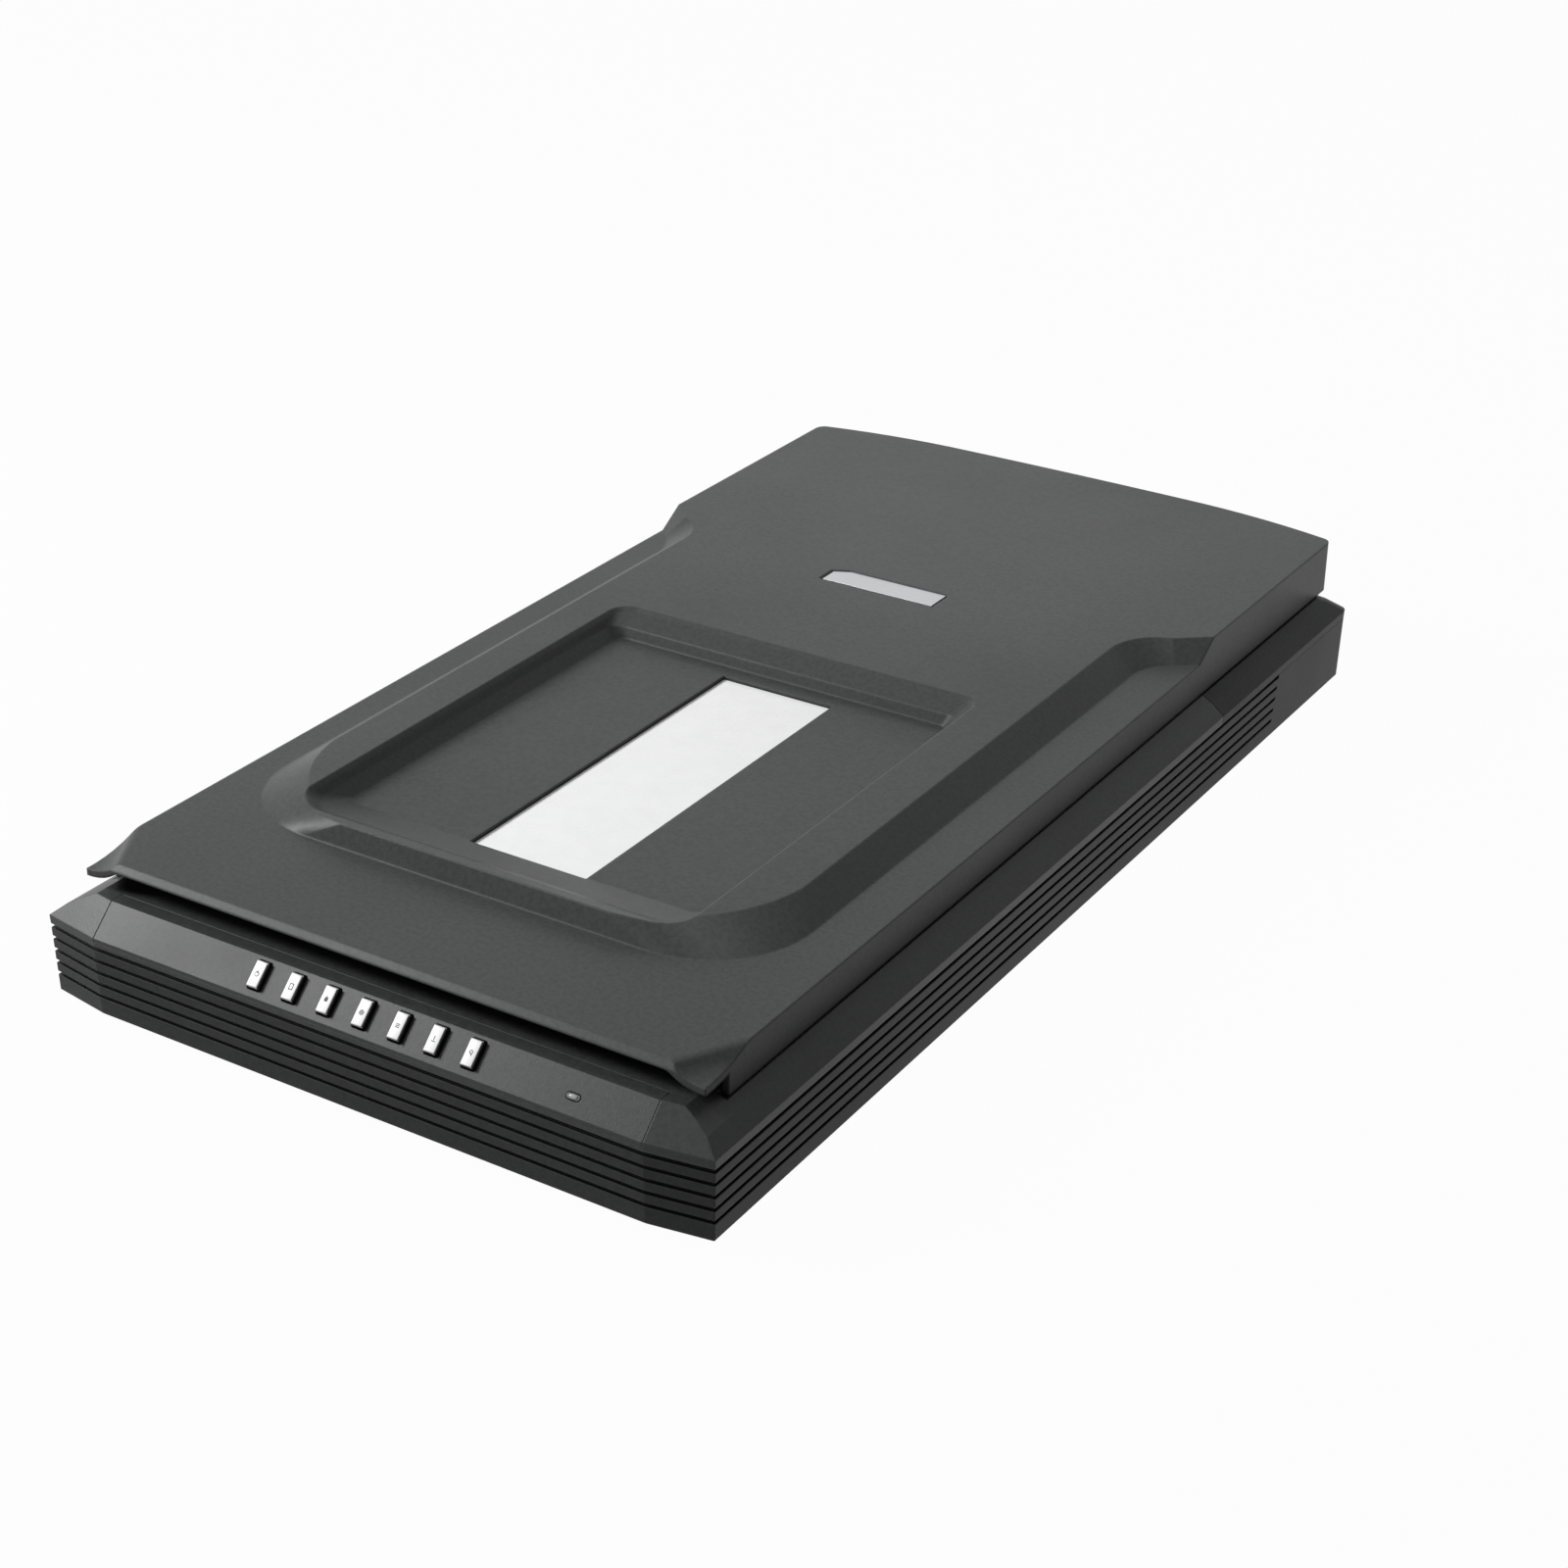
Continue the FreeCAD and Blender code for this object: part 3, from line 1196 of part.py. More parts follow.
def electronics():
    """The main board, what is on it, its two sockets and the flat cable to the carriage."""
    low = dim("main_board_height")
    top = low + dim("board_thickness")
    front = from_front("drive_from_front") - 14
    back = BACK - 16
    board = cuboid(-108, -31, front, back, low, top)
    base = top - 0.1
    parts = [cuboid(-78, -58, front + 14, front + 34, base, top + 1.6),
             cuboid(-100, -90, front + 10, front + 22, base, top + 1.4),
             cuboid(-50, -40, front + 8, front + 26, base, top + 1.2),
             cuboid(-100, -82, front + 1, front + 4.5, base, top + 3),
             upright(4, -96, front + 32, base, top + 9)]
    feature("main_board", board.fuse(parts).removeSplitter())
    for label, (x, width, height) in socket_places().items():
        rear = BACK - 3.6 if label == "usb_socket" else BACK - 6.2
        shell = cuboid(x - width / 2, x + width / 2, back - 3, rear, top, top + height)
        if label == "usb_socket":
            hole = cuboid(x - 4.3, x + 4.3, rear - 8.5, rear + 1, top + 1.4, top + 9.2)
            tongue = cuboid(x - 2.6, x + 2.6, rear - 9, rear - 1.5, top + 3.9, top + 6.5)
            feature(label, shell.cut(hole).fuse(tongue))
        else:
            hole = Part.makeCylinder(2.8, 9, Vector(x, rear + 0.5, top + 5.5), Vector(0, -1, 0))
            pin = Part.makeCylinder(0.9, 8, Vector(x, rear - 9, top + 5.5), Vector(0, 1, 0))
            feature(label, shell.cut(hole).fuse(pin))
    flat_cable(top, front)


def flat_cable(top, board_front):
    """The flat flexible cable from the main board, along the floor and up to the carriage."""
    rear = from_front("carriage_from_front") + dim("carriage_length") / 2
    floor = FLOOR + 0.3
    line = [(board_front + 6, top + 0.1), (board_front - 3, top + 0.1), (board_front - 12, floor),
            (rear + 14, floor), (rear + 3, dim("carriage_bottom") + 2), (rear + 0.1, dim("carriage_bottom") + 5)]
    upper = [(y, z + 0.3) for y, z in reversed(line)]
    feature("flat_cable", profile_along_x(line + upper, -78, -58))


def fasteners():
    """The four case screws, their heads deep in the bottom case."""
    screws = []
    for x, y in SCREW_PLACES:
        head = upright(2.8, x, y, 12.0, 14.0)
        shank = upright(dim("screw_radius"), x, y, 13.9, dim("rebate_height") - 5.0)
        screws.append(head.fuse(shank))
    feature("case_screws", Part.Compound(screws))


def rubber_feet():
    """Four round feet under the case."""
    radius = dim("foot_radius")
    places = [(side * (HALF - 26), y) for side in (-1, 1) for y in (FRONT + 32, BACK - 36)]
    feet = []
    for x, y in places:
        pad_solid = upright(radius, x, y, 0, dim("case_bottom"))
        feet.append(pad_solid.makeChamfer(0.8, [e for e in pad_solid.Edges if e.CenterOfMass.z < 0.01]))
    feature("rubber_feet", Part.Compound(feet))


# ---------------------------------------------------------------- build

def build():
    """Make every sub-part."""
    shell = upper_shell()
    top_frame(shell)
    rear_cover(shell)
    bottom_case()
    control_panel()
    buttons()
    status_light()
    button_board()
    glass_parts()
    lid_shell()
    lid_inner_panel()
    lid_soft_parts()
    light_window()
    film_lamp()
    nameplate()
    hinges()
    carriage_housing()
    carriage_bushes()
    carriage_optics()
    carriage_underside()
    guide_parts()
    drive_belt()
    drive_train()
    motor_bracket()
    idler_mount()
    electronics()
    fasteners()
    rubber_feet()


def check_and_export():
    """Stop on any failed object or bad shape, then write one STEP file for each sub-part."""
    doc.recompute()
    failed = [obj.Label for obj in doc.Objects if {"Invalid", "Error"} & set(obj.State)]
    assert not failed, f"failed objects: {failed}"
    for label, obj in subparts.items():
        assert not obj.Shape.isNull() and obj.Shape.isValid(), f"bad shape: {label}"
    os.makedirs("parts", exist_ok=True)
    for label, obj in subparts.items():
        obj.Shape.exportStep(f"parts/{label}.step")


build()
check_and_export()
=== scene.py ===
import math

import bpy
from mathutils import Matrix, Vector


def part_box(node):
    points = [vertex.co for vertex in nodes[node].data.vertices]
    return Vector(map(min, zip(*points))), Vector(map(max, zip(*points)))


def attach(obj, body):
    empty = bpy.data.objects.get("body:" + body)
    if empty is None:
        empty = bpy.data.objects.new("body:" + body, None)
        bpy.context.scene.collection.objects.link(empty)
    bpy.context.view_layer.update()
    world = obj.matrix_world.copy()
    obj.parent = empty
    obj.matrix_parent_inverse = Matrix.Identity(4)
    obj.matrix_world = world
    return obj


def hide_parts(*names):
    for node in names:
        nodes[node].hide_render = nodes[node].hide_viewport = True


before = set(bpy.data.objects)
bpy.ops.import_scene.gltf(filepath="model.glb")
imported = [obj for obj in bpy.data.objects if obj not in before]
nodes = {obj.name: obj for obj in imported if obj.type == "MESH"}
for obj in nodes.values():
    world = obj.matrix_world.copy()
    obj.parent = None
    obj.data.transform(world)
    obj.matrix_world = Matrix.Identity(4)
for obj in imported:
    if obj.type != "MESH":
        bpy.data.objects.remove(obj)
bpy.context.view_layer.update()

scene = bpy.context.scene

# ------------------------------------------------------------------ camera
# A 67 mm lens about a metre away, to the right of the front and a little above the lid, with
# the slight roll of a hand-levelled stand.
CAMERA_AZIMUTH = math.radians(31.832)
CAMERA_ELEVATION = math.radians(27.226)
CAMERA_ROLL = math.radians(0.571)
CAMERA_DISTANCE = 1.0499
CAMERA_TARGET = Vector((-0.0038, 0.0143, 0.0072))
CAMERA_LENS = 67.44
SENSOR_WIDTH = 36.0
NEAREST_SEEN = 0.01
towards_camera = Vector((math.sin(CAMERA_AZIMUTH) * math.cos(CAMERA_ELEVATION),
                         -math.cos(CAMERA_AZIMUTH) * math.cos(CAMERA_ELEVATION),
                         math.sin(CAMERA_ELEVATION)))
lens = bpy.data.cameras.new("camera")
lens.lens = CAMERA_LENS
lens.sensor_width = SENSOR_WIDTH
lens.clip_start = NEAREST_SEEN
camera = bpy.data.objects.new("camera", lens)
scene.collection.objects.link(camera)
level = towards_camera.to_track_quat("Z", "Y").to_matrix()
camera.matrix_world = Matrix.Translation(CAMERA_TARGET + CAMERA_DISTANCE * towards_camera) @ (
    level @ Matrix.Rotation(CAMERA_ROLL, 3, "Z")).to_4x4()
scene.camera = camera

# ------------------------------------------------------------------ studio
# A soft box on the left, a weaker one overhead, a faint one behind and a dim surround. The
# lens and mirror-like surfaces see the surround as white.
DIM_SURROUND = 0.07
WHITE_SURROUND = 1.0
# Each soft box: name, place, what it faces, size and power.
SOFT_BOXES = (("left", (-1.15, -0.75, 1.0), (0.0, -0.05, 0.03), 0.5, 30.0),
              ("overhead", (-0.12, 0.08, 1.25), (0.0, 0.0, 0.03), 0.45, 2.8),
              ("back_left", (-1.0, 1.3, 0.9), (0.0, -0.1, 0.03), 1.1, 0.3))
for name, place, aim, size, power in SOFT_BOXES:
    lamp = bpy.data.lights.new(name, "AREA")
    lamp.size = size
    lamp.energy = power
    box = bpy.data.objects.new(name, lamp)
    scene.collection.objects.link(box)
    box.location = place
    box.rotation_euler = (Vector(place) - Vector(aim)).to_track_quat("Z", "Y").to_euler()
scene.view_settings.view_transform = "Standard"


def seen_directly(tree):
    """1 for what the lens sees by itself, in a mirror or through glass, and 0 for light."""
    paths = tree.nodes.new("ShaderNodeLightPath")
    seen = paths.outputs["Is Camera Ray"]
    for way in ("Is Glossy Ray", "Is Transmission Ray"):
        either = tree.nodes.new("ShaderNodeMath")
        either.operation = "MAXIMUM"
        tree.links.new(seen, either.inputs[0])
        tree.links.new(paths.outputs[way], either.inputs[1])
        seen = either.outputs[0]
    return seen


world = bpy.data.worlds.new("surround")
scene.world = world
world.use_nodes = True
tree = world.node_tree
strength = tree.nodes.new("ShaderNodeMapRange")
strength.inputs["To Min"].default_value = DIM_SURROUND
strength.inputs["To Max"].default_value = WHITE_SURROUND
tree.links.new(seen_directly(tree), strength.inputs["Value"])
surround = tree.nodes["Background"]
surround.inputs["Color"].default_value = (1.0, 1.0, 1.0, 1.0)
tree.links.new(strength.outputs["Result"], surround.inputs["Strength"])

# ------------------------------------------------------------------ floor
# A seamless paper sweep. It fades into the white surround for the lens and keeps the scanner's
# soft shadow; what it throws back on the plastic is dim.
FLOOR_SIZE = 60.0
PAPER_GREY = (0.3, 0.3, 0.3, 1.0)
PAPER_FADE = 0.975
bpy.ops.object.select_all(action="DESELECT")
bpy.ops.mesh.primitive_plane_add(size=FLOOR_SIZE, location=(0.0, 0.0, 0.0))
floor = bpy.context.object
floor.name = "floor"
paper = bpy.data.materials.new("floor_paper")
paper.use_nodes = True
tree = paper.node_tree
shader = tree.nodes["Principled BSDF"]
shader.inputs["Base Color"].default_value = PAPER_GREY
shader.inputs["Roughness"].default_value = 0.95
shader.inputs["Specular IOR Level"].default_value = 0.1
glow = tree.nodes.new("ShaderNodeEmission")
share = tree.nodes.new("ShaderNodeMath")
share.operation = "MULTIPLY"
share.inputs[1].default_value = PAPER_FADE
mix = tree.nodes.new("ShaderNodeMixShader")
tree.links.new(seen_directly(tree), share.inputs[0])
tree.links.new(share.outputs[0], mix.inputs["Fac"])
tree.links.new(shader.outputs["BSDF"], mix.inputs[1])
tree.links.new(glow.outputs["Emission"], mix.inputs[2])
tree.links.new(mix.outputs["Shader"], tree.nodes["Material Output"].inputs["Surface"])
floor.data.materials.append(paper)


# ------------------------------------------------------------------ case
# Bottom case, top frame and rear cover: ABS from spark-eroded tools, which leave a fine even
# grain. Edges come off the tool with a small radius and are painted paler, partly for handling
# wear and partly as a painted highlight.

def ready(name):
    """A new material with its node tree and shader."""
    material = bpy.data.materials.new(name)
    material.use_nodes = True
    return material, material.node_tree, material.node_tree.nodes["Principled BSDF"]


def noise(tree, scale, detail=2.0, stretch=None):
    """A noise over the piece, in metres, drawn out along an axis if asked."""
    place = tree.nodes.new("ShaderNodeTexCoord")
    texture = tree.nodes.new("ShaderNodeTexNoise")
    texture.inputs["Scale"].default_value = scale
    texture.inputs["Detail"].default_value = detail
    if stretch:
        mapping = tree.nodes.new("ShaderNodeMapping")
        mapping.inputs["Scale"].default_value = stretch
        tree.links.new(place.outputs["Object"], mapping.inputs["Vector"])
        tree.links.new(mapping.outputs["Vector"], texture.inputs["Vector"])
    else:
        tree.links.new(place.outputs["Object"], texture.inputs["Vector"])
    return texture.outputs["Fac"]


def ramp(tree, value, low, high, start=0.3, end=0.7):
    """A value between start and end, spread from low to high."""
    spread = tree.nodes.new("ShaderNodeMapRange")
    spread.inputs["From Min"].default_value = start
    spread.inputs["From Max"].default_value = end
    spread.inputs["To Min"].default_value = low
    spread.inputs["To Max"].default_value = high
    tree.links.new(value, spread.inputs["Value"])
    return spread.outputs["Result"]


def blended(tree, share, first, second):
    """One colour going over into another; each is a colour or another node's output."""
    mix = tree.nodes.new("ShaderNodeMix")
    mix.data_type = "RGBA"
    tree.links.new(share, mix.inputs[0])
    for slot, colour in ((6, first), (7, second)):
        if isinstance(colour, tuple):
            mix.inputs[slot].default_value = colour + (1.0,)
        else:
            tree.links.new(colour, mix.inputs[slot])
    return mix.outputs[2]


def shade(colour, amount):
    """A colour made darker or paler."""
    return tuple(min(1.0, amount * part) for part in colour)


def relief(tree, shader, height, depth, edge=0.0):
    """Bump of a depth in metres, over edges that look rounded to a radius."""
    bump = tree.nodes.new("ShaderNodeBump")
    bump.inputs["Distance"].default_value = depth
    tree.links.new(height, bump.inputs["Height"])
    if edge:
        rounding = tree.nodes.new("ShaderNodeBevel")
        rounding.samples = 6
        rounding.inputs["Radius"].default_value = edge
        tree.links.new(rounding.outputs["Normal"], bump.inputs["Normal"])
    tree.links.new(bump.outputs["Normal"], shader.inputs["Normal"])


def near_edge(tree, reach):
    """How near a point is to an edge, from 0 to 1; used for wear, grime and painted edge highlight.
    """
    rounding = tree.nodes.new("ShaderNodeBevel")
    rounding.samples = 6
    rounding.inputs["Radius"].default_value = reach
    surface = tree.nodes.new("ShaderNodeNewGeometry")
    agree = tree.nodes.new("ShaderNodeVectorMath")
    agree.operation = "DOT_PRODUCT"
    tree.links.new(rounding.outputs["Normal"], agree.inputs[0])
    tree.links.new(surface.outputs["Normal"], agree.inputs[1])
    return ramp(tree, agree.outputs["Value"], 0.55, 0.0, 0.86, 0.995)


def moulded_plastic(name, colour, roughness, sheen=0.5, grain=0.00003, edge=0.0005, patch=11.0,
                    reach=0.0):
    """Grained plastic: fine specks, slow patches of handling, edges painted paler for wear and as a
    painted highlight and, within a reach, painted shade darkening its hollows."""
    material, tree, shader = ready(name)
    speck = noise(tree, 2200.0)
    slow = noise(tree, patch, 5.0)
    body = blended(tree, ramp(tree, slow, 0.0, 1.0), shade(colour, 0.88), shade(colour, 1.1))
    body = blended(tree, ramp(tree, speck, 0.0, 0.4), body, shade(colour, 1.45))
    mottle = noise(tree, 620.0, 3.0)
    body = blended(tree, ramp(tree, mottle, 0.0, 0.35, 0.42, 0.62), body, shade(colour, 0.5))
    if reach:
        # Painted shade: ambient occlusion darkens the colour in grooves and hollows within the
        # reach.
        painted_hollow_shade = tree.nodes.new("ShaderNodeAmbientOcclusion")
        painted_hollow_shade.samples = 6
        painted_hollow_shade.inputs["Distance"].default_value = reach
        depth = ramp(tree, painted_hollow_shade.outputs["AO"], 1.0, 0.0, 0.5, 1.0)
        body = blended(tree, depth, body, shade(colour, 0.12))
    # Paler edges: partly handling wear, partly a painted highlight along edges and crests.
    body = blended(tree, near_edge(tree, edge), body, shade(colour, 1.8))
    tree.links.new(body, shader.inputs["Base Color"])
    tree.links.new(ramp(tree, slow, roughness + 0.05, roughness - 0.05), shader.inputs["Roughness"])
    shader.inputs["Specular IOR Level"].default_value = sheen
    relief(tree, shader, speck, grain, edge)
    return material


def finish(material, *names):
    """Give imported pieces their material."""
    for name in names:
        slots = nodes[name].data.materials
        slots.clear()
        slots.append(material)


CASE_COLOUR = (0.049, 0.0503, 0.0507)
# Bottom case and rear cover: the lid's charcoal darkened, as painted shade for their dim front and
# sides, with painted shade in their grooves.
finish(moulded_plastic("case_charcoal_painted_shade", shade(CASE_COLOUR, 0.62), roughness=0.42, sheen=0.1,
                       reach=0.003), "bottom_case", "rear_cover")
finish(moulded_plastic("frame_charcoal", shade(CASE_COLOUR, 0.8), roughness=0.38, sheen=0.18,
                       grain=0.00004), "top_frame")

# ------------------------------------------------------------------ rubber feet
# Four moulded rubber feet pressed into the underside, each a low disc with a hollow face that
# grips the desk. Dust dulls the rubber.
FOOT_RADIUS = 0.007
FOOT_HEIGHT = 0.0031
FOOT_LIFT = 0.0001
FOOT_RIM = 0.0018
FOOT_HOLLOW = 0.0008
FOOT_ROUNDING = 0.0004
FOOT_ACROSS = 0.098
FRONT_FEET = -0.1965
REAR_FEET = 0.1925
FOOT_PLACES = ((-FOOT_ACROSS, FRONT_FEET), (FOOT_ACROSS, FRONT_FEET), (-FOOT_ACROSS, REAR_FEET),
               (FOOT_ACROSS, REAR_FEET))


def clear_selection():
    """Leave object mode with nothing selected."""
    if bpy.context.object and bpy.context.object.mode != "OBJECT":
        bpy.ops.object.mode_set(mode="OBJECT")
    bpy.ops.object.select_all(action="DESELECT")


def keep_faces(piece, wanted):
    """In edit mode, select the faces whose direction and middle pass a test."""
    bpy.ops.object.mode_set(mode="OBJECT")
    for corner in piece.data.vertices:
        corner.select = False
    for side in piece.data.edges:
        side.select = False
    for face in piece.data.polygons:
        face.select = wanted(face)
    bpy.ops.object.mode_set(mode="EDIT")
    bpy.ops.mesh.select_mode(type="FACE")


def bevel_piece(piece, width, segments=3, angle=0.6):
    """Round a piece's sharp edges and apply it."""
    rounding = piece.modifiers.new("rounding", "BEVEL")
    rounding.width = width
    rounding.segments = segments
    rounding.limit_method = "ANGLE"
    rounding.angle_limit = angle
    bpy.ops.object.modifier_apply(modifier="rounding")


def rubber(name, colour):
    """Dull rubber with a matt bloom and fine dust."""
    material, tree, shader = ready(name)
    dust = noise(tree, 900.0, 6.0)
    body = blended(tree, ramp(tree, dust, 0.0, 1.0, 0.45, 0.75), colour, shade(colour, 3.0))
    tree.links.new(body, shader.inputs["Base Color"])
    tree.links.new(ramp(tree, dust, 0.62, 0.85), shader.inputs["Roughness"])
    shader.inputs["Specular IOR Level"].default_value = 0.35
    relief(tree, shader, dust, 0.00004, 0.0002)
    return material


black_rubber = rubber("black_rubber", (0.014, 0.014, 0.015))
foot = None
for count, (across, along) in enumerate(FOOT_PLACES):
    clear_selection()
    if foot is None:
        bpy.ops.mesh.primitive_cylinder_add(vertices=48, radius=FOOT_RADIUS, depth=FOOT_HEIGHT,
                                            location=(0.0, 0.0, 0.5 * FOOT_HEIGHT + FOOT_LIFT))
        foot = bpy.context.object
        bpy.ops.object.transform_apply(location=True, rotation=True, scale=True)
        keep_faces(foot, lambda face: face.normal.z < -0.9)
        bpy.ops.mesh.inset(thickness=FOOT_RIM)
        bpy.ops.mesh.extrude_region_move(TRANSFORM_OT_translate={"value": (0.0, 0.0, FOOT_HOLLOW)})
        bpy.ops.object.mode_set(mode="OBJECT")
        bevel_piece(foot, FOOT_ROUNDING)
        bpy.ops.object.shade_smooth_by_angle(angle=0.6)
        foot.data.materials.append(black_rubber)
        foot.name = "foot_1"
        plain_foot = foot.data.copy()
        piece = foot
    else:
        piece = bpy.data.objects.new(f"foot_{count + 1}", plain_foot.copy())
        scene.collection.objects.link(piece)
    piece.data.transform(Matrix.Translation((across, along, 0.0)))
    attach(piece, "base")
    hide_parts("rubber_feet")

# ------------------------------------------------------------------ case and lid screws
# Black-oxide steel screws with plain round heads, driven from below into posts in the plastic.
# The oxide is rubbed a little brighter along their edges.

def worked_metal(name, colour, roughness, grain=(1.0, 1.0, 1.0), spots=0.3, edge=0.0002):
    """Metal with tool streaks along one axis, faint blotches and bright edges."""
    material, tree, shader = ready(name)
    streak = noise(tree, 700.0, 4.0, grain)
    blotch = noise(tree, 90.0, 3.0)
    body = blended(tree, ramp(tree, blotch, 0.0, spots), colour, shade(colour, 0.7))
    body = blended(tree, near_edge(tree, edge), body, shade(colour, 1.25))
    tree.links.new(body, shader.inputs["Base Color"])
    shader.inputs["Metallic"].default_value = 1.0
    gloss = ramp(tree, streak, roughness - 0.07, roughness + 0.1)
    tree.links.new(gloss, shader.inputs["Roughness"])
    relief(tree, shader, streak, 0.000006, edge)
    return material


finish(worked_metal("black_oxide_screws", (0.1, 0.1, 0.105), roughness=0.42),
       "case_screws", "lid_screws")

# ------------------------------------------------------------------ control panel
# A separate charcoal moulding snapped into the front slope, from a smoother tool than the case,
# so that it takes a broader sheen.
finish(moulded_plastic("panel_charcoal", shade(CASE_COLOUR, 0.8), roughness=0.38, sheen=0.18,
                       edge=0.0003), "control_panel")

# ------------------------------------------------------------------ buttons
# Seven keys, each a black moulding that rises through the panel with a white face bonded on. The
# faces carry small black function signs.
LIP_HEIGHT = 0.0309
DECK_HEIGHT = 0.0397
SLOPE_RUN = 0.0093
CASE_FRONT = -0.2285
SLOPE = math.atan2(DECK_HEIGHT - LIP_HEIGHT, SLOPE_RUN)
BUTTON_PITCH = 0.0133
BUTTON_MIDDLE = 0.0009
FACE_WIDTH = 0.0039
FACE_LENGTH = 0.0080
FACE_THICKNESS = 0.0003
FACE_RIM = 0.0004
FACE_CROWN = 0.00008
FACE_ROUNDING = 0.00012
FACE_UP_SLOPE = 0.0069
BUTTON_PROUD = 0.0015
BUTTON_COUNT = 7
MIDDLE_BUTTON = 4
FACE_SUNK = 0.00002
FACE_PROUD = BUTTON_PROUD + 0.5 * FACE_THICKNESS - FACE_SUNK
SIGN_LIFT = 0.00008
SIGN_PROUD = BUTTON_PROUD + FACE_THICKNESS + SIGN_LIFT
button_black = moulded_plastic("button_black", (0.011, 0.011, 0.0115), roughness=0.36, sheen=0.45,
                               grain=0.00001, edge=0.0003)
finish(button_black, *[f"button_{count}" for count in range(1, BUTTON_COUNT + 1)])


def on_slope(across, up_slope, proud):
    """Where a thing lies on the front slope, measured from the lip and out of the surface."""
    middle = Vector((across, CASE_FRONT + up_slope * math.cos(SLOPE) - proud * math.sin(SLOPE),
                     LIP_HEIGHT + up_slope * math.sin(SLOPE) + proud * math.cos(SLOPE)))
    return Matrix.Translation(middle) @ Matrix.Rotation(SLOPE, 4, "X")


def white_plastic(name, colour, roughness, grain):
    """Pale satin plastic with faint yellowing and grime towards its edges."""
    material, tree, shader = ready(name)
    slow = noise(tree, 140.0, 4.0)
    body = blended(tree, ramp(tree, slow, 0.0, 1.0), colour, shade(colour, 0.96))
    body = blended(tree, near_edge(tree, 0.0002), body, shade(colour, 0.9))
    tree.links.new(body, shader.inputs["Base Color"])
    tree.links.new(ramp(tree, slow, roughness, roughness + 0.1), shader.inputs["Roughness"])
    relief(tree, shader, noise(tree, 1500.0), grain, 0.0002)
    return material


face_white = white_plastic("button_face_white", (0.86, 0.865, 0.86), roughness=0.32,
                           grain=0.000004)
sign_black = moulded_plastic("sign_ink", (0.012, 0.012, 0.013), roughness=0.5, sheen=0.3,
                             grain=0.000002, edge=0.00005)
INK_HEIGHT = 0.00006
INK_ROUNDING = 0.00002
RING_LINE = 0.00013
RING_FLATNESS = 0.25


def sign_bar(across, along, width, length):
    """One printed stroke of a sign."""
    bpy.ops.mesh.primitive_cube_add(size=1.0, location=(across, along, 0.0))
    stroke = bpy.context.object
    stroke.scale = (width, length, INK_HEIGHT)
    bpy.ops.object.transform_apply(location=True, rotation=True, scale=True)
    bevel_piece(stroke, INK_ROUNDING, 1)
    return stroke


def sign_ring(across, along, radius):
    """One printed ring of a sign."""
    bpy.ops.mesh.primitive_torus_add(major_radius=radius, minor_radius=RING_LINE,
                                     major_segments=28, minor_segments=6,
                                     location=(across, along, 0.0))
    stroke = bpy.context.object
    stroke.scale = (1.0, 1.0, RING_FLATNESS)
    bpy.ops.object.transform_apply(location=True, rotation=True, scale=True)
    return stroke


THIN = 0.00026
# Each button's sign: bars and rings, placed across and along the face, with their sizes.
SIGNS = {
    1: (("ring", 0.0, 0.0, 0.0007), ("bar", 0.0, 0.0007, THIN, 0.0009)),
    2: (("bar", -0.0006, 0.0, THIN, 0.0018), ("bar", 0.0006, 0.0, THIN, 0.0018),
        ("bar", 0.0, 0.0009, 0.0014, THIN), ("bar", 0.0, -0.0009, 0.0014, THIN)),
    3: (("bar", 0.0, 0.0, 0.0012, 0.0013), ("bar", 0.0, 0.0009, 0.0006, THIN)),
    4: (("ring", 0.0, 0.0, 0.0007), ("ring", 0.0, 0.0, 0.0003)),
    5: (("bar", 0.0, 0.0005, 0.0014, THIN), ("bar", 0.0, 0.0, 0.0014, THIN),
        ("bar", 0.0, -0.0005, 0.0014, THIN)),
    6: (("bar", 0.0, 0.0003, THIN, 0.0013), ("bar", 0.0, -0.0007, 0.0014, THIN)),
    7: (("ring", 0.0, 0.0002, 0.0005), ("bar", 0.0003, -0.0006, THIN, 0.0007)),
}
plain_face = None
for count in range(1, BUTTON_COUNT + 1):
    across = BUTTON_MIDDLE + (count - MIDDLE_BUTTON) * BUTTON_PITCH
    clear_selection()
    if plain_face is None:
        bpy.ops.mesh.primitive_cube_add(size=1.0, location=(0.0, 0.0, 0.0))
        face = bpy.context.object
        face.scale = (FACE_WIDTH, FACE_LENGTH, FACE_THICKNESS)
        bpy.ops.object.transform_apply(location=True, rotation=True, scale=True)
        keep_faces(face, lambda side: side.normal.z > 0.9)
        bpy.ops.mesh.inset(thickness=FACE_RIM)
        bpy.ops.transform.translate(value=(0.0, 0.0, FACE_CROWN))
        bpy.ops.object.mode_set(mode="OBJECT")
        bevel_piece(face, FACE_ROUNDING, 2)
        bpy.ops.object.shade_smooth_by_angle(angle=0.6)
        face.data.materials.append(face_white)
        face.name = "button_face_1"
        plain_face = face.data.copy()
    else:
        face = bpy.data.objects.new(f"button_face_{count}", plain_face.copy())
        scene.collection.objects.link(face)
    face.data.transform(on_slope(across, FACE_UP_SLOPE, FACE_PROUD))
    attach(face, f"button_{count}")
    clear_selection()
    strokes = [sign_bar(*sizes) if kind == "bar" else sign_ring(*sizes)
               for kind, *sizes in SIGNS[count]]
    for stroke in strokes:
        stroke.select_set(True)
    bpy.context.view_layer.objects.active = strokes[0]
    bpy.ops.object.join()
    sign = bpy.context.object
    sign.name = f"button_sign_{count}"
    sign.data.materials.append(sign_black)
    sign.data.transform(on_slope(across, FACE_UP_SLOPE, SIGN_PROUD))
    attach(sign, f"button_{count}")

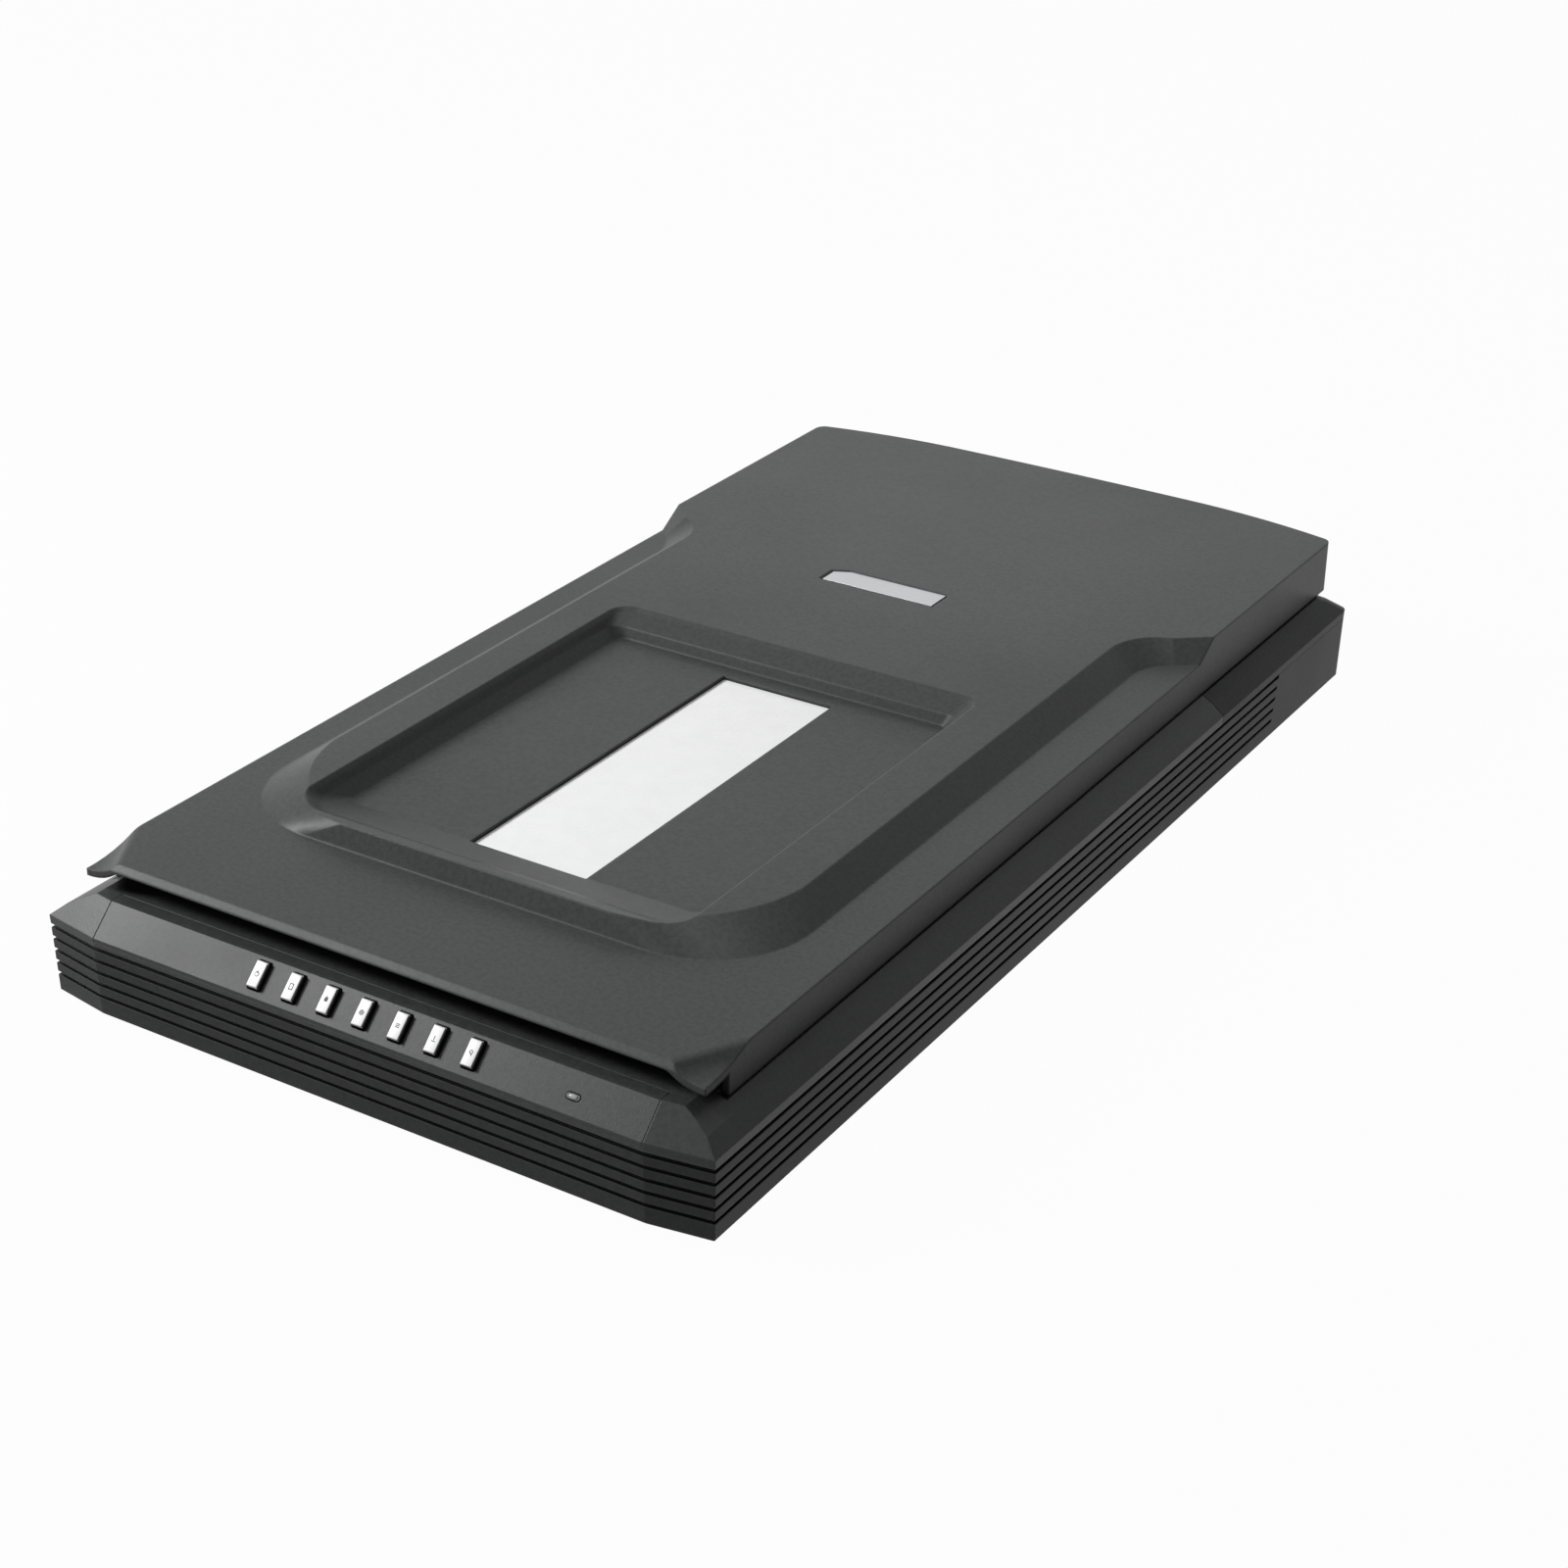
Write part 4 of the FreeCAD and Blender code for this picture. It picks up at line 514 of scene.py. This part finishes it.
# ------------------------------------------------------------------ status light
# A black oval plug pushed through the panel over a light on the board behind, with a smoky
# window let into its middle.
WINDOW_RADIUS = 0.001
WINDOW_THICKNESS = 0.0003
WINDOW_OVAL = (1.45, 0.72, 1.0)
WINDOW_RIM = 0.00025
WINDOW_CROWN = 0.00006
WINDOW_ROUNDING = 0.00006
WINDOW_ACROSS = 0.0764
WINDOW_UP_SLOPE = 0.0054
WINDOW_PROUD = 0.0002
finish(button_black, "status_light")
clear_selection()
bpy.ops.mesh.primitive_cylinder_add(vertices=40, radius=WINDOW_RADIUS, depth=WINDOW_THICKNESS)
status_window = bpy.context.object
status_window.name = "status_window"
status_window.scale = WINDOW_OVAL
bpy.ops.object.transform_apply(location=True, rotation=True, scale=True)
keep_faces(status_window, lambda side: side.normal.z > 0.9)
bpy.ops.mesh.inset(thickness=WINDOW_RIM)
bpy.ops.transform.translate(value=(0.0, 0.0, WINDOW_CROWN))
bpy.ops.object.mode_set(mode="OBJECT")
bevel_piece(status_window, WINDOW_ROUNDING, 2)
bpy.ops.object.shade_smooth_by_angle(angle=0.7)
status_window.data.materials.append(white_plastic("status_smoke", (0.3, 0.31, 0.31),
                                                  roughness=0.2, grain=0.000002))
status_window.data.transform(on_slope(WINDOW_ACROSS, WINDOW_UP_SLOPE, WINDOW_PROUD))
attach(status_window, "base")

# ------------------------------------------------------------------ platen glass
# Float glass, taped under the top frame. Its edge looks green; a white paper reference strip
# is stuck below its front end for the scanning head to read.

def clear_glass(name, colour, index, smudge):
    """Clear glass or plastic with faint smears."""
    material, tree, shader = ready(name)
    smear = noise(tree, 45.0, 5.0)
    body = blended(tree, ramp(tree, smear, 0.0, 1.0), colour, shade(colour, 0.97))
    tree.links.new(body, shader.inputs["Base Color"])
    tree.links.new(ramp(tree, smear, 0.02, smudge, 0.4, 0.8), shader.inputs["Roughness"])
    shader.inputs["Transmission Weight"].default_value = 1.0
    shader.inputs["IOR"].default_value = index
    relief(tree, shader, smear, 0.000002)
    return material


finish(clear_glass("platen_float_glass", (0.93, 0.97, 0.955), index=1.52, smudge=0.05),
       "platen_glass")
finish(white_plastic("reference_white", (0.85, 0.85, 0.84), roughness=0.6, grain=0.000004),
       "calibration_strip")

# ------------------------------------------------------------------ guide rod and rails
# A ground steel rod held by plastic clips, and a folded zinc-plated rail, on which the scanning
# head runs.
finish(worked_metal("ground_rod_steel", (0.66, 0.66, 0.67), roughness=0.16,
                    grain=(1.0, 0.02, 1.0), spots=0.1), "guide_rod")
zinc_plate = worked_metal("zinc_plated_steel", (0.58, 0.59, 0.6), roughness=0.34,
                          grain=(1.0, 0.3, 1.0), spots=0.6)
finish(zinc_plate, "side_rail", "motor_bracket", "idler_bracket")
black_plastic = moulded_plastic("black_moulding", (0.014, 0.014, 0.015), roughness=0.5, sheen=0.4,
                                grain=0.00002, edge=0.0003, patch=30.0)
finish(black_plastic, "rod_clips")

# ------------------------------------------------------------------ scanning head
# A glass-filled black housing on sintered bronze bushes, with front-surfaced mirrors, a
# cold-cathode lamp between silicone caps, an aluminium reflector, and a lens before the sensor.
finish(moulded_plastic("glass_filled_black", (0.017, 0.017, 0.018), roughness=0.58, sheen=0.4,
                       grain=0.00004, edge=0.0004, patch=25.0), "carriage_housing", "belt_clamp")
finish(worked_metal("sintered_bronze", (0.55, 0.36, 0.17), roughness=0.46, spots=0.5),
       "carriage_bushes")
finish(worked_metal("mirror_silvering", (0.9, 0.91, 0.92), roughness=0.09, spots=0.04),
       "carriage_mirrors")
finish(worked_metal("bright_aluminium", (0.82, 0.83, 0.84), roughness=0.22,
                    grain=(0.03, 1.0, 1.0), spots=0.12), "lamp_reflector")
finish(moulded_plastic("anodised_barrel", (0.012, 0.012, 0.014), roughness=0.3, sheen=0.5,
                       grain=0.00001, edge=0.0002, patch=60.0), "lens")
finish(white_plastic("lamp_phosphor", (0.86, 0.88, 0.88), roughness=0.12, grain=0.000001),
       "scan_lamp", "film_lamp")
finish(white_plastic("lamp_silicone", (0.5, 0.5, 0.48), roughness=0.55, grain=0.000006),
       "scan_lamp_caps", "film_lamp_holders")
finish(white_plastic("sliding_acetal", (0.78, 0.77, 0.72), roughness=0.38, grain=0.000004),
       "slide_pad")

# ------------------------------------------------------------------ circuit boards
# Glass-epoxy boards with green solder mask over copper tracks, tin pads on a grid, and black
# epoxy packages standing off the surface.

def circuit_board(name, outward, surface):
    """Solder mask near the board's plane, dark packages beyond it along one direction."""
    material, tree, shader = ready(name)
    place = tree.nodes.new("ShaderNodeTexCoord")
    tracks = tree.nodes.new("ShaderNodeTexBrick")
    tracks.inputs["Scale"].default_value = 260.0
    tracks.inputs["Mortar Size"].default_value = 0.035
    tracks.inputs["Color1"].default_value = (0.012, 0.11, 0.045, 1.0)
    tracks.inputs["Color2"].default_value = (0.018, 0.15, 0.06, 1.0)
    tracks.inputs["Mortar"].default_value = (0.045, 0.25, 0.1, 1.0)
    tree.links.new(place.outputs["Object"], tracks.inputs["Vector"])
    pads = tree.nodes.new("ShaderNodeTexVoronoi")
    pads.inputs["Scale"].default_value = 330.0
    pads.inputs["Randomness"].default_value = 0.15
    tree.links.new(place.outputs["Object"], pads.inputs["Vector"])
    tinned = ramp(tree, pads.outputs["Distance"], 1.0, 0.0, 0.14, 0.18)
    mask = blended(tree, tinned, tracks.outputs["Color"], (0.62, 0.62, 0.6))
    height = tree.nodes.new("ShaderNodeVectorMath")
    height.operation = "DOT_PRODUCT"
    height.inputs[1].default_value = outward
    tree.links.new(place.outputs["Object"], height.inputs[0])
    package = ramp(tree, height.outputs["Value"], 0.0, 1.0, surface, surface + 0.0001)
    packages = blended(tree, ramp(tree, noise(tree, 800.0), 0.0, 1.0), (0.013, 0.013, 0.014),
                       (0.026, 0.026, 0.027))
    tree.links.new(blended(tree, package, mask, packages), shader.inputs["Base Color"])
    tree.links.new(ramp(tree, package, 0.28, 0.6, 0.0, 1.0), shader.inputs["Roughness"])
    relief(tree, shader, tracks.outputs["Fac"], 0.00002, 0.0002)
    return material


UPWARD = (0.0, 0.0, 1.0)
FORWARD = (0.0, -1.0, 0.0)
finish(circuit_board("main_board_mask", UPWARD, surface=0.0117), "main_board")
finish(circuit_board("sensor_board_mask", FORWARD, surface=0.1503), "sensor_board")
finish(circuit_board("lamp_board_mask", UPWARD, surface=0.0449), "lamp_driver_board")
finish(circuit_board("button_board_mask", UPWARD, surface=0.0332), "button_board")

# ------------------------------------------------------------------ ribbon cable
# A flat flexible cable from the main board to the scanning head: tinned conductors a
# millimetre apart between white films.
material, tree, shader = ready("ribbon_white")
place = tree.nodes.new("ShaderNodeTexCoord")
conductors = tree.nodes.new("ShaderNodeTexWave")
conductors.bands_direction = "X"
conductors.inputs["Scale"].default_value = 314.0
conductors.inputs["Distortion"].default_value = 0.1
tree.links.new(place.outputs["Object"], conductors.inputs["Vector"])
stripes = ramp(tree, conductors.outputs["Fac"], 0.0, 1.0, 0.45, 0.6)
film_white = blended(tree, stripes, (0.74, 0.75, 0.76), (0.4, 0.42, 0.44))
tree.links.new(film_white, shader.inputs["Base Color"])
shader.inputs["Roughness"].default_value = 0.34
relief(tree, shader, conductors.outputs["Fac"], depth=0.00003)
finish(material, "flat_cable")

# ------------------------------------------------------------------ sockets
# A data socket folded from nickel-plated steel and a black moulded power socket, soldered to the
# main board's rear edge so that they open through the back of the case.
finish(worked_metal("nickel_shell", (0.66, 0.65, 0.62), roughness=0.24, grain=(1.0, 0.2, 1.0),
                    spots=0.15), "usb_socket")
finish(black_plastic, "dc_jack")

# ------------------------------------------------------------------ drive
# A canned stepper motor turns a large nylon gear on a steel axle, which draws a toothed
# neoprene belt round a sprung idler at the front.
finish(worked_metal("motor_can", (0.5, 0.5, 0.51), roughness=0.36, grain=(1.0, 1.0, 0.05),
                    spots=0.35), "stepper_motor")
finish(moulded_plastic("natural_nylon", (0.7, 0.68, 0.6), roughness=0.44, grain=0.000008,
                       edge=0.0001, patch=80.0), "drive_gear", "motor_pinion")
finish(black_plastic, "idler_pulley")
finish(worked_metal("turned_steel", (0.62, 0.62, 0.63), roughness=0.2, grain=(1.0, 1.0, 0.05),
                    spots=0.1), "drive_axle", "hinge_pins", "idler_spring")
material, tree, shader = ready("belt_neoprene")
place = tree.nodes.new("ShaderNodeTexCoord")
teeth = tree.nodes.new("ShaderNodeTexWave")
teeth.bands_direction = "Y"
teeth.inputs["Scale"].default_value = 157.0
tree.links.new(place.outputs["Object"], teeth.inputs["Vector"])
fibre = noise(tree, 1600.0, 4.0, (1.0, 0.2, 1.0))
belt_black = blended(tree, ramp(tree, fibre, 0.0, 1.0), (0.012, 0.012, 0.012),
                     (0.032, 0.031, 0.03))
tree.links.new(belt_black, shader.inputs["Base Color"])
tree.links.new(ramp(tree, fibre, 0.6, 0.8), shader.inputs["Roughness"])
relief(tree, shader, teeth.outputs["Fac"], depth=0.0003)
finish(material, "drive_belt")

# ------------------------------------------------------------------ hinges
# Zinc-plated brackets under the lid turn on steel pins in black posts, which slide up out of
# the case for a thick book.
finish(zinc_plate, "hinge_bracket_left", "hinge_bracket_right")
finish(black_plastic, "hinge_post_left", "hinge_post_right")

# ------------------------------------------------------------------ lid
# One large ABS moulding, the same charcoal as the case but with the soft creases of a big open
# tool. Hands and dust leave slow, faint patches on it.
# The wide edge reach paints the lid's crests and edges paler: mostly a painted highlight, with some
# handling wear.
finish(moulded_plastic("lid_charcoal", CASE_COLOUR, roughness=0.36, sheen=0.15, grain=0.00004,
                       edge=0.0011, patch=8.0), "lid_shell")
finish(moulded_plastic("inner_panel_black", (0.02, 0.02, 0.021), roughness=0.55, sheen=0.4,
                       edge=0.0004, patch=20.0), "lid_inner_panel")

# ------------------------------------------------------------------ film light
# Opal acrylic in the lid's tray spreads the film lamp's light, which a clear acrylic plate
# underneath takes sideways.
finish(white_plastic("opal_acrylic", (0.93, 0.933, 0.935), roughness=0.22, grain=0.000002),
       "light_window")
finish(clear_glass("light_guide_acrylic", (0.92, 0.95, 0.95), index=1.49, smudge=0.1),
       "light_guide")

# ------------------------------------------------------------------ nameplate
# A bare plate stamped from aluminium sheet that is brushed across the lid, glued into a shallow
# pocket in the moulding.
finish(worked_metal("brushed_plate", (0.5, 0.51, 0.52), roughness=0.4, grain=(0.02, 1.0, 1.0),
                    spots=0.1), "nameplate")

# ------------------------------------------------------------------ document pad
# A white film over soft foam, stuck to the inner panel. It presses a page flat on the glass and
# swells slightly between its edges.
PAD_TRIM = 0.0006
PAD_BORDER = 0.004
PAD_CUTS = 36
PAD_ROUNDING = 0.0005
PAD_SWELL = 0.0003
SWELL_SIZE = 0.05
PAD_LOW, PAD_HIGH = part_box("document_pad")
clear_selection()
bpy.ops.mesh.primitive_cube_add(size=1.0, location=0.5 * (PAD_LOW + PAD_HIGH))
document_pad = bpy.context.object
document_pad.name = "document_foam"
document_pad.scale = PAD_HIGH - PAD_LOW - Vector((PAD_TRIM, PAD_TRIM, 0.0))
bpy.ops.object.transform_apply(location=True, rotation=True, scale=True)
keep_faces(document_pad, lambda face: face.normal.z < -0.9)
bpy.ops.mesh.inset(thickness=PAD_BORDER)
bpy.ops.mesh.subdivide(number_cuts=PAD_CUTS)
bpy.ops.object.mode_set(mode="OBJECT")
bevel_piece(document_pad, PAD_ROUNDING, angle=1.0)
swell = bpy.data.textures.new("foam_swell", "CLOUDS")
swell.noise_scale = SWELL_SIZE
uneven = document_pad.modifiers.new("swell", "DISPLACE")
uneven.texture = swell
uneven.texture_coords = "LOCAL"
uneven.direction = "Z"
uneven.strength = PAD_SWELL
uneven.mid_level = 0.0
bpy.ops.object.modifier_apply(modifier="swell")
bpy.ops.object.shade_smooth_by_angle(angle=0.7)
material, tree, shader = ready("pad_film_white")
weave = noise(tree, 1300.0, 3.0)
slow = noise(tree, 20.0, 4.0)
pad_white = blended(tree, ramp(tree, slow, 0.0, 1.0), (0.84, 0.84, 0.825), (0.79, 0.79, 0.765))
tree.links.new(pad_white, shader.inputs["Base Color"])
tree.links.new(ramp(tree, weave, 0.62, 0.78), shader.inputs["Roughness"])
shader.inputs["Sheen Weight"].default_value = 0.1
relief(tree, shader, weave, 0.00004)
document_pad.data.materials.append(material)
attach(document_pad, "lid")
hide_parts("document_pad")

# ------------------------------------------------------------------ lid bumpers
# Four soft moulded rubber buttons stuck to the underside of the inner panel. They meet the top
# frame before the lid does, and a shallow hollow in each face takes up the knock.
BUMPERS_LOW, BUMPERS_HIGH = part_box("lid_bumpers")
BUMPER_RADIUS = 0.0038
BUMPER_INSET = 0.004
BUMPER_RIM = 0.0012
BUMPER_HOLLOW = 0.0003
BUMPER_ROUNDING = 0.0004
BUMPER_PLAY = 0.0001
BUMPER_HEIGHT = BUMPERS_HIGH.z - BUMPERS_LOW.z - BUMPER_PLAY
BUMPER_MIDDLE = 0.5 * (BUMPERS_LOW.z + BUMPERS_HIGH.z)
plain_bumper = None
for count in range(4):
    across = BUMPERS_LOW.x + BUMPER_INSET if count % 2 else BUMPERS_HIGH.x - BUMPER_INSET
    along = BUMPERS_LOW.y + BUMPER_INSET if count < 2 else BUMPERS_HIGH.y - BUMPER_INSET
    clear_selection()
    if plain_bumper is None:
        bpy.ops.mesh.primitive_cylinder_add(vertices=40, radius=BUMPER_RADIUS, depth=BUMPER_HEIGHT)
        bumper = bpy.context.object
        keep_faces(bumper, lambda face: face.normal.z < -0.9)
        bpy.ops.mesh.inset(thickness=BUMPER_RIM)
        bpy.ops.mesh.extrude_region_move(
            TRANSFORM_OT_translate={"value": (0.0, 0.0, BUMPER_HOLLOW)})
        bpy.ops.object.mode_set(mode="OBJECT")
        bevel_piece(bumper, BUMPER_ROUNDING)
        bpy.ops.object.shade_smooth_by_angle(angle=0.6)
        bumper.data.materials.append(black_rubber)
        bumper.name = "bumper_1"
        plain_bumper = bumper.data.copy()
    else:
        bumper = bpy.data.objects.new(f"bumper_{count + 1}", plain_bumper.copy())
        scene.collection.objects.link(bumper)
    bumper.data.transform(Matrix.Translation((across, along, BUMPER_MIDDLE)))
    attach(bumper, "lid")
    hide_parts("lid_bumpers")
